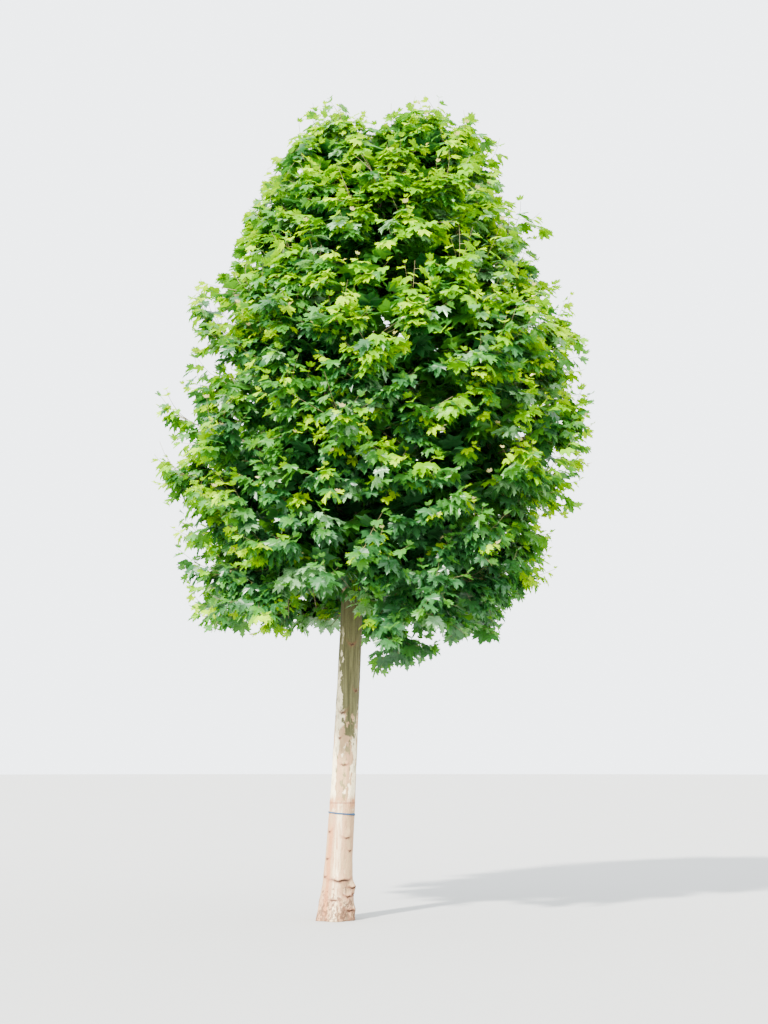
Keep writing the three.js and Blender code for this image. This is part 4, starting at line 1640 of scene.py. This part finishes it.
@dataclass
class TrunkPiece:
    """The trunk with its root ridges, burrs, knots and the relief of its bark."""

    shape: TrunkShape = field(default_factory=TrunkShape)
    sides: int = 96
    fine_step: float = 0.009
    fine_top: float = 3.6
    coarse_levels: int = 60
    burr_fall: float = 2.0
    scar_form: ScarForm = field(default_factory=ScarForm)
    fade_length: float = 3.5  # how far below the trunk's top the bark's relief begins to fade
    least_fade: float = 0.2
    bark_waves: tuple[tuple[float, ...], ...] = (
        (2.2, 2.4, 0, 1, 0.0045),
        (4.5, 0.9, 7, 1, 0.0026),
        (6.0, 7.0, 3, 6, 0.0014),
    )  # lumps, flutes and flakes: waves round it and up it, shift, sharpness and height
    burrs: tuple[Burr, ...] = (
        Burr(-12, 0.330, 0.075, 0.030),
        Burr(-38, 0.215, 0.080, 0.024),
        Burr(-75, 0.390, 0.095, 0.016),
        Burr(-20, 0.110, 0.070, 0.026),
        Burr(-62, 0.120, 0.080, 0.018),
        Burr(60, 0.260, 0.090, 0.022),
        Burr(165, 0.180, 0.090, 0.016),
        Burr(-50, 0.860, 0.055, 0.010),
    )
    scars: tuple[Scar, ...] = (
        Scar(-142, 0.877, 0.014, 0.010, 0.006, 0.006),
        Scar(-59, 0.817, 0.024, 0.008, 0.007, 0.006),
        Scar(-38, 0.688, 0.016, 0.009, 0.006, 0.006),
        Scar(-142, 0.608, 0.015, 0.009, 0.006, 0.006),
        Scar(-145, 0.430, 0.014, 0.009, 0.006, 0.006),
        Scar(-76, 0.397, 0.072, 0.014, 0.014, 0.015),
        Scar(-22, 0.322, 0.040, 0.012, 0.010, 0.012),
        Scar(-44, 0.238, 0.028, 0.013, 0.010, 0.014),
        Scar(-14, 0.252, 0.024, 0.016, 0.008, 0.014),
        Scar(-35, 0.100, 0.034, 0.012, 0.010, 0.014),
        Scar(-100, 0.205, 0.030, 0.008, 0.006, 0.008),
        Scar(-113, 2.078, 0.020, 0.013, 0.010, 0.006),
        Scar(-46, 2.304, 0.014, 0.010, 0.006, 0.005),
        Scar(-90, 1.550, 0.022, 0.008, 0.006, 0.005),
        Scar(-120, 1.820, 0.012, 0.010, 0.004, 0.004),
        Scar(40, 0.560, 0.022, 0.010, 0.008, 0.008),
        Scar(95, 1.340, 0.018, 0.010, 0.007, 0.006),
        Scar(140, 0.960, 0.020, 0.009, 0.007, 0.007),
        Scar(20, 1.900, 0.016, 0.010, 0.007, 0.006),
        Scar(75, 0.330, 0.045, 0.011, 0.010, 0.012),
        Scar(120, 2.600, 0.018, 0.012, 0.008, 0.005),
        Scar(-80, 2.780, 0.018, 0.012, 0.008, 0.005),
    )

    def away(
        self, angle: np.ndarray, height: np.ndarray, spot: Scar | Burr
    ) -> tuple[np.ndarray, np.ndarray]:
        """Measure along the trunk's skin from a spot, round it and upwards."""
        turn = angle - math.radians(spot.angle)
        turn = np.arctan2(np.sin(turn), np.cos(turn))
        return turn * self.shape.radius(spot.height), height - spot.height

    def broad_relief(self, angle: np.ndarray, height: np.ndarray) -> np.ndarray:
        """Give how far root ridges and burrs stand out, as in the part."""
        shape = self.shape
        fade = np.exp(-height / shape.flare_height)
        relief = shape.root_ridge * np.cos(shape.root_ridges * angle + 1) * fade
        for burr in self.burrs:
            round_it, up_it = self.away(angle, height, burr)
            distance = np.hypot(round_it, up_it) / burr.size
            relief = relief + burr.stand * np.exp(-distance * distance * self.burr_fall)
        return relief

    def fine_relief(
        self, angle: np.ndarray, height: np.ndarray
    ) -> tuple[np.ndarray, np.ndarray, np.ndarray]:
        """Work out the bark's own relief.

        Args:
            angle: Angles round the trunk, one for each point.
            height: The points' heights.

        Returns:
            How far each point stands out, how dark a scar is there with painted shade in its crease, and
            how rusty the bark round it.
        """
        round_x, round_y = np.cos(angle), np.sin(angle)
        spots = np.stack([round_x, round_y, height], axis=-1).reshape(-1, 3)
        relief = np.zeros(len(spots))
        for around, up, shift, sharpness, stand in self.bark_waves:
            found = noise_at(Vector((around * x, around * y, up * z + shift)) for x, y, z in spots)
            relief += stand * np.clip(sharpness * found, -1, 1)
        relief = relief.reshape(angle.shape)
        dark, halo = np.zeros_like(relief), np.zeros_like(relief)
        form = self.scar_form
        for scar in self.scars:
            round_it, up_it = self.away(angle, height, scar)
            across = round_it / scar.half_width
            line = form.bow * across**2 + form.wave * np.sin(form.wave_pace * across)
            above = (up_it - scar.half_height * line) / scar.half_height
            lip = np.hypot(across / form.lip_width, (above - form.lip_above) / form.lip_height)
            crease = np.hypot(across, above / form.crease_height)
            relief += scar.stand * np.exp(-(lip**2) * form.lip_fall)
            cut = form.crease_cut * scar.stand + scar.sink
            relief -= cut * np.exp(-(crease**2) * form.crease_fall)
            # the crease's dark: the knot's own colour and painted shade
            dark += form.dark * np.exp(-((crease / form.dark_size) ** form.dark_power))
            halo += np.exp(-((crease / form.halo_size) ** 2))
        return relief, np.clip(dark, 0, 1), np.clip(halo, 0, 1)

    def surface_radius(self, angle: np.ndarray, height: np.ndarray) -> np.ndarray:
        """Give the radius of the trunk's skin without its finest relief."""
        return self.shape.radius(height) + self.broad_relief(angle, height)

    def build(self) -> bpy.types.Object:
        """Build the trunk."""
        fine = np.arange(0, self.fine_top, self.fine_step)
        coarse = np.linspace(self.fine_top, self.shape.top, self.coarse_levels)
        heights = np.concatenate([fine, coarse])
        angles = np.arange(self.sides) * 2 * math.pi / self.sides
        angle, height = np.meshgrid(angles, heights)
        relief, dark, halo = self.fine_relief(angle, height)
        fade = np.clip((self.shape.top - height) / self.fade_length, self.least_fade, 1)
        radius = self.surface_radius(angle, height) + relief * fade
        centre = self.shape.axis(height)
        points = centre + radius[..., None] * np.stack([np.cos(angle), np.sin(angle), 0 * angle], -1)
        faces = tube_faces(*angle.shape)
        made = new_object("trunk_bark", points.reshape(-1, 3), faces=faces)
        # the knots' dark, with painted shade in their creases
        store(made, "scar", dark.ravel())
        store(made, "halo", halo.ravel())
        made.data.shade_smooth()
        settle(made, ["trunk"], TrunkFinish().build())
        return made


@dataclass
class MarkerBandPiece:
    """The thin plastic band round the trunk, with its two ends crossed at the front right."""

    trunk: TrunkPiece
    height: float = 1.060
    drop: float = 0.014
    half_width: float = 0.008
    thickness: float = 0.004
    bridge: int = 15  # how many steps of it lie straight over a hollow
    steps: int = 160
    join_angle: float = math.radians(-42)
    tail: float = math.radians(20)
    lap: tuple[float, float] = (0.002, 0.004)  # how far the crossed ends stand off and lie higher
    lap_power: int = 12
    tail_lift: tuple[float, float] = (0.010, 0.006)  # how much further off and higher the tail ends
    section_points: int = 12
    roundness: float = 0.6

    def section(self) -> np.ndarray:
        """Give the band's section as rows of places outward and upward."""
        turns = np.arange(self.section_points) * 2 * math.pi / self.section_points
        waves = np.stack([np.cos(turns), np.sin(turns)], axis=1)
        square = np.sign(waves) * np.abs(waves) ** self.roundness
        return square * [self.thickness / 2, self.half_width]

    def strip(self, start: float, stop: float, lift: Callable[[np.ndarray], np.ndarray]) -> np.ndarray:
        """Lay one length of the band against the trunk.

        Args:
            start: The angle where it starts.
            stop: The angle where it stops.
            lift: How far it stands off and how much higher it lies, from the share of the way along.

        Returns:
            Points by place along the band and place round its section.
        """
        share = np.linspace(0, 1, self.steps)
        angle = start + (stop - start) * share
        off, higher = lift(share)
        level = self.height - self.drop * np.cos(angle) + higher
        edges = (-self.half_width, 0, self.half_width)
        rises = [self.trunk.fine_relief(angle, level + edge)[0] for edge in edges]
        padded = np.pad(np.max(rises, axis=0), self.bridge // 2, mode="edge")
        taut = np.lib.stride_tricks.sliding_window_view(padded, self.bridge).max(axis=1)
        base = self.trunk.surface_radius(angle, level) + taut + 0.5 * self.thickness + off
        section = self.section()
        radius = base[:, None] + section[None, :, 0]
        centre = self.trunk.shape.axis(level)
        return np.stack(
            [
                centre[:, 0, None] + radius * np.cos(angle)[:, None],
                centre[:, 1, None] + radius * np.sin(angle)[:, None],
                level[:, None] + section[None, :, 1],
            ],
            axis=-1,
        )

    def build(self) -> bpy.types.Object:
        """Build the band."""
        start, power = self.join_angle, self.lap_power
        (off, higher), (out, up) = self.lap, self.tail_lift
        around = self.strip(start, start + 2 * math.pi, lambda s: (off * s**power, higher * s**power))
        tail = self.strip(start, start + self.tail, lambda s: (off + out * s * s, higher + up * s))
        points, faces = [], []
        for strip in (around, tail):
            faces.extend(tube_faces(*strip.shape[:2], sum(len(p) for p in points), True))
            points.append(strip.reshape(-1, 3))
        made = new_object("marker_band_strip", np.concatenate(points), faces=faces)
        made.data.shade_smooth()
        settle(made, ["marker_band"], BandFinish().build())
        return made


@dataclass
class LimbPieces:
    """Boughs, twigs and shoots, each swept along its line by one recipe."""

    growth: Growth
    bough_sides: int = 12
    twig_sides: int = 5
    shoot_sides: int = 3
    bough_points: int = 70
    knot_pace: float = 14.0
    knot_apart: float = 3.7
    knot: float = 0.10

    def recipe(self) -> Recipe:
        """Build the tree that sweeps a round section along lines."""
        recipe = Recipe("sweep_limbs")
        sides = recipe.named_input("Sides", "Int")
        bark = recipe.named_input("Bark", "Material")
        curves = recipe.node("GeometryNodeMeshToCurve", None, {0: recipe.entry.outputs[0]})
        sockets = {"Resolution": sides, "Radius": 1.0}
        section = recipe.node("GeometryNodeCurvePrimitiveCircle", None, sockets)
        sockets = {0: curves.outputs[0], 1: section.outputs[0], "Scale": recipe.stored("girth")}
        swept = recipe.node("GeometryNodeCurveToMesh", None, sockets | {"Fill Caps": True})
        smooth = recipe.node("GeometryNodeSetShadeSmooth", None, {0: swept.outputs[0]})
        real = recipe.node("GeometryNodeRealizeInstances", None, {0: smooth.outputs[0]})
        dressed = recipe.node("GeometryNodeSetMaterial", None, {0: real.outputs[0], "Material": bark})
        recipe.close(dressed.outputs[0])
        return recipe

    def sweep(
        self, name: str, limbs: Sequence[Limb], sides: int, finish: TwigFinish, nodes: Sequence[str]
    ) -> bpy.types.Object:
        """Sweep limbs into one piece.

        Args:
            name: The piece's name.
            limbs: The limbs.
            sides: How many sides each has.
            finish: Its finish.
            nodes: The nodes it stands for.

        Returns:
            The piece.
        """
        points = np.concatenate([limb.points for limb in limbs])
        starts = np.cumsum([0] + [len(limb.points) for limb in limbs])
        feet = np.delete(np.arange(len(points)), starts[1:] - 1)
        carrier = new_object(name, points, np.stack([feet, feet + 1], axis=1))
        store(carrier, "girth", np.concatenate([limb.girths for limb in limbs]))
        made = self.recipe().run(carrier, {"Sides": sides, "Bark": finish.build()})
        settle(made, nodes)
        return made

    def rough(self, limb: Limb, seed: int) -> Limb:
        """Resample a bough finely and give it the swellings of its bark and old knots."""
        share = np.linspace(0, 1, len(limb.points))
        fine = np.linspace(0, 1, self.bough_points)
        points = along_line(fine, share, limb.points)
        girths = np.interp(fine, share, limb.girths)
        row = seed * self.knot_apart
        swell = noise_at(Vector((self.knot_pace * s, row, 0)) for s in fine)
        return Limb(points, girths * (1 + self.knot * swell))

    def build(self, bough_nodes: Sequence[str], mass_nodes: Sequence[str]) -> None:
        """Build the boughs, the main twigs and the shoots."""
        boughs = [self.rough(limb, i) for i, limb in enumerate(self.growth.boughs)]
        self.sweep("boughs", boughs, self.bough_sides, BOUGH_FINISH, [*bough_nodes, *mass_nodes])
        self.sweep("twigs", self.growth.twigs, self.twig_sides, BOUGH_FINISH, mass_nodes)
        self.sweep("shoots", self.growth.shoots, self.shoot_sides, TWIG_FINISH, mass_nodes)


@dataclass(frozen=True)
class LeafShape:
    """A plane leaf of length 1 from its stalk's end: three main lobes, two small ones, coarse teeth."""

    half_rim: Rim = (
        (1.00, 0.00),
        (0.86, 0.07),
        (0.80, 0.18),
        (0.66, 0.13),
        (0.60, 0.21),
        (0.46, 0.165),
        (0.60, 0.36),
        (0.66, 0.57),
        (0.50, 0.50),
        (0.43, 0.65),
        (0.26, 0.42),
        (0.20, 0.61),
        (0.06, 0.42),
        (-0.09, 0.38),
        (-0.11, 0.16),
    )
    plain_half_rim: Rim = (
        (1.00, 0.00),
        (0.60, 0.18),
        (0.66, 0.57),
        (0.26, 0.42),
        (0.06, 0.50),
        (-0.10, 0.20),
    )
    lobe_lines: tuple[float, ...] = (0.0, 0.71, 1.25)
    vein_width: float = 0.3
    middle: float = 0.30
    stalk_radius: float = 0.011
    stalk_sides: int = 3

    def blade(self, half_rim: Rim, bends: Triple) -> np.ndarray:
        """Shape the blade.

        Args:
            half_rim: The rim's points on one side, from the tip.
            bends: How far the tip hangs, how far the sides hang, and how far the blade rises between veins.

        Returns:
            Rows of points: the middle, then the rim all round from the tip.
        """
        droop, side_droop, fold = bends
        left = [(x, -y) for x, y in reversed(half_rim[1:])]
        rim = np.array([(self.middle, 0.0), *half_rim, (0.0, 0.0), *left])
        reach = np.hypot(rim[:, 0], rim[:, 1])
        angle = np.abs(np.arctan2(rim[:, 1], rim[:, 0]))
        from_vein = np.min([np.abs(angle - line) for line in self.lobe_lines], axis=0)
        lift = fold * np.clip(from_vein / self.vein_width, 0, 1) * reach
        z = lift - droop * np.clip(rim[:, 0], 0, None) ** 2 - side_droop * rim[:, 1] ** 2
        return np.column_stack([rim, z])

    def build(self, form: LeafForm, stalk: tuple[float, float], bends: Triple) -> bpy.types.Object:
        """Build one form of leaf with its stalk, the plain form without one, from the stalk's foot at the
        origin.

        Args:
            form: The form.
            stalk: How far the blade stands out from the foot and up.
            bends: The blade's droop, side droop and fold.

        Returns:
            The leaf.
        """
        end = np.array([stalk[0], 0.0, stalk[1]])
        plain = form is LeafForm.PLAIN
        blade = self.blade(self.plain_half_rim if plain else self.half_rim, bends) + end
        count = len(blade)
        faces = [(0, i, i % (count - 1) + 1) for i in range(1, count)]
        sides = self.stalk_sides
        turns = np.arange(0 if plain else sides) * 2 * math.pi / sides
        ring = self.stalk_radius * np.stack([0 * turns, np.cos(turns), np.sin(turns)], axis=1)
        stalk_points = np.concatenate([ring, ring + end])
        for i in range(len(turns)):
            j = (i + 1) % sides
            faces.append((count + i, count + j, count + sides + j, count + sides + i))
        made = new_object(f"leaf_form_{form.value}", np.concatenate([blade, stalk_points]), faces=faces)
        store(made, "stalk", np.arange(count + len(stalk_points)) >= count)
        return made


@dataclass
class LeafPieces:
    """All the leaves, one or more pieces for each tint."""

    growth: Growth
    shape: LeafShape = field(default_factory=LeafShape)
    forms: dict[LeafForm, tuple[tuple[float, float], Triple]] = field(
        default_factory=lambda: {
            LeafForm.LEVEL: ((0.34, 0.16), (0.12, 0.16, 0.11)),
            LeafForm.DROOPING: ((0.30, 0.26), (0.32, 0.12, 0.14)),
            LeafForm.CUPPED: ((0.36, 0.10), (0.18, 0.44, 0.10)),
            LeafForm.YOUNG: ((0.24, 0.10), (0.08, -0.55, 0.07)),
            LeafForm.PLAIN: ((0.05, 0.02), (0.14, 0.20, 0.04)),
        }
    )

    def recipe(self) -> Recipe:
        """Build the tree that sets a leaf on each point."""
        recipe = Recipe("set_leaves")
        forms = recipe.named_input("Forms", "Collection")
        blade = recipe.named_input("Blade", "Material")
        stalk = recipe.named_input("Stalk", "Material")
        sockets = {0: forms, "Separate Children": True, "Reset Children": True}
        chosen = recipe.node("GeometryNodeCollectionInfo", None, sockets)
        turn = recipe.node("FunctionNodeEulerToRotation", None, {0: recipe.stored("turn", "FLOAT_VECTOR")})
        sockets = {
            "Points": recipe.entry.outputs[0],
            "Instance": chosen.outputs[0],
            "Pick Instance": True,
            "Instance Index": recipe.stored("form", "INT"),
            "Rotation": turn.outputs[0],
            "Scale": recipe.stored("size"),
        }
        placed = recipe.node("GeometryNodeInstanceOnPoints", None, sockets)
        real = recipe.node("GeometryNodeRealizeInstances", None, {0: placed.outputs[0]})
        dressed = recipe.node("GeometryNodeSetMaterial", None, {0: real.outputs[0], "Material": blade})
        sockets = {0: dressed.outputs[0], "Selection": recipe.stored("stalk"), "Material": stalk}
        stalks = recipe.node("GeometryNodeSetMaterial", None, sockets)
        recipe.close(stalks.outputs[0])
        return recipe

    def build(self, nodes: Sequence[str]) -> None:
        """Build the leaf pieces.

        Args:
            nodes: The nodes of foliage that they stand for.
        """
        forms = bpy.data.collections.new("leaf_forms")
        for form, (stalk, bends) in self.forms.items():
            made = self.shape.build(form, stalk, bends)
            bpy.context.scene.collection.objects.unlink(made)
            forms.objects.link(made)
        recipe = self.recipe()
        stalk = STALK_FINISH.build()
        leaves = self.growth.leaves
        # A leaf has one triangle for each face, and one more for each side of its stalk.
        most_faces = max(len(made.data.polygons) for made in forms.objects)
        most = MOST_TRIANGLES // (most_faces + self.shape.stalk_sides)
        for tint, finish in LEAF_FINISHES.items():
            rows = leaves[leaves[:, TINT] == tint.value]
            blade = finish.build()
            for part, some in enumerate(np.array_split(rows, math.ceil(len(rows) / most)), 1):
                carrier = new_object(f"{finish.name}_{part}", some[:, FOOT])
                store(carrier, "turn", some[:, TURN], "FLOAT_VECTOR")
                store(carrier, "size", some[:, LENGTH])
                store(carrier, "form", some[:, FORM], "INT")
                made = recipe.run(carrier, {"Forms": forms, "Blade": blade, "Stalk": stalk})
                settle(made, nodes)
        for made in list(forms.objects):
            bpy.data.objects.remove(made)
        bpy.data.collections.remove(forms)


@dataclass
class Studio:
    """The pale floor, the light and the camera."""

    camera_place: Triple = (0.497, -15.675, 1.6)
    camera_pitch: float = 9.388
    focal_pixels: float = 1500.0
    long_side_pixels: float = 1024.0
    sensor: float = 36.0
    sight: float = 500.0
    floor_radius: float = 160.0
    floor_sides: int = 128
    sun_turn: tuple[float, float] = (52.0, -32.0)  # degrees down from overhead, and round from the front
    sun_strength: float = 10.4
    sun_angle: float = 3.0
    sun_colour: Colour = (1.0, 0.965, 0.90)
    sky: Colour = (0.92, 0.96, 1.00)
    sky_strength: float = 2.72
    look: str = "AgX - Medium High Contrast"

    def floor(self) -> None:
        """Lay the floor, a wide disc."""
        turns = np.arange(self.floor_sides) * 2 * math.pi / self.floor_sides
        rim = self.floor_radius * np.stack([np.cos(turns), np.sin(turns), 0 * turns], axis=1)
        made = new_object("studio_floor", rim, faces=[list(range(self.floor_sides))])
        made.data.materials.append(FloorFinish().build())

    def light(self) -> None:
        """Hang the sun and light the surroundings."""
        lamp = bpy.data.lights.new("key_sun", "SUN")
        lamp.energy = self.sun_strength
        lamp.angle = math.radians(self.sun_angle)
        lamp.color = self.sun_colour
        hung = bpy.data.objects.new("key_sun", lamp)
        down, around = self.sun_turn
        hung.rotation_euler = Euler((math.radians(down), 0, math.radians(around)), "XYZ")
        bpy.context.scene.collection.objects.link(hung)
        world = bpy.data.worlds.new("studio")
        world.use_nodes = True
        background = world.node_tree.nodes["Background"]
        background.inputs["Color"].default_value = (*self.sky, 1.0)
        background.inputs["Strength"].default_value = self.sky_strength
        bpy.context.scene.world = world

    def camera(self) -> None:
        """Set up the camera at the photograph's viewing angle."""
        lens = bpy.data.cameras.new("camera")
        lens.sensor_width = self.sensor
        lens.lens = self.focal_pixels / self.long_side_pixels * self.sensor
        lens.clip_end = self.sight
        made = bpy.data.objects.new("camera", lens)
        made.location = self.camera_place
        made.rotation_euler = Euler((math.radians(90 + self.camera_pitch), 0, 0), "XYZ")
        bpy.context.scene.collection.objects.link(made)
        bpy.context.scene.camera = made

    def build(self) -> None:
        """Build the studio."""
        self.floor()
        self.light()
        self.camera()
        bpy.context.scene.view_settings.look = self.look


def main() -> None:
    """Build the tree and its studio."""
    logging.basicConfig(level=logging.INFO, format="%(message)s")
    names = list(frame["nodes"])
    boughs = [name for name in names if name.startswith("bough_")]
    masses = [name for name in names if name.startswith("foliage_")]
    Studio().build()
    crown = Crown()
    trunk = TrunkPiece(crown.trunk)
    trunk.build()
    MarkerBandPiece(trunk).build()
    growth = crown.grow()
    LOG.info("%d twigs, %d shoots", len(growth.twigs), len(growth.shoots))
    LimbPieces(growth).build(boughs, masses)
    LeafPieces(growth).build(masses)


if __name__ == "__main__":
    main()
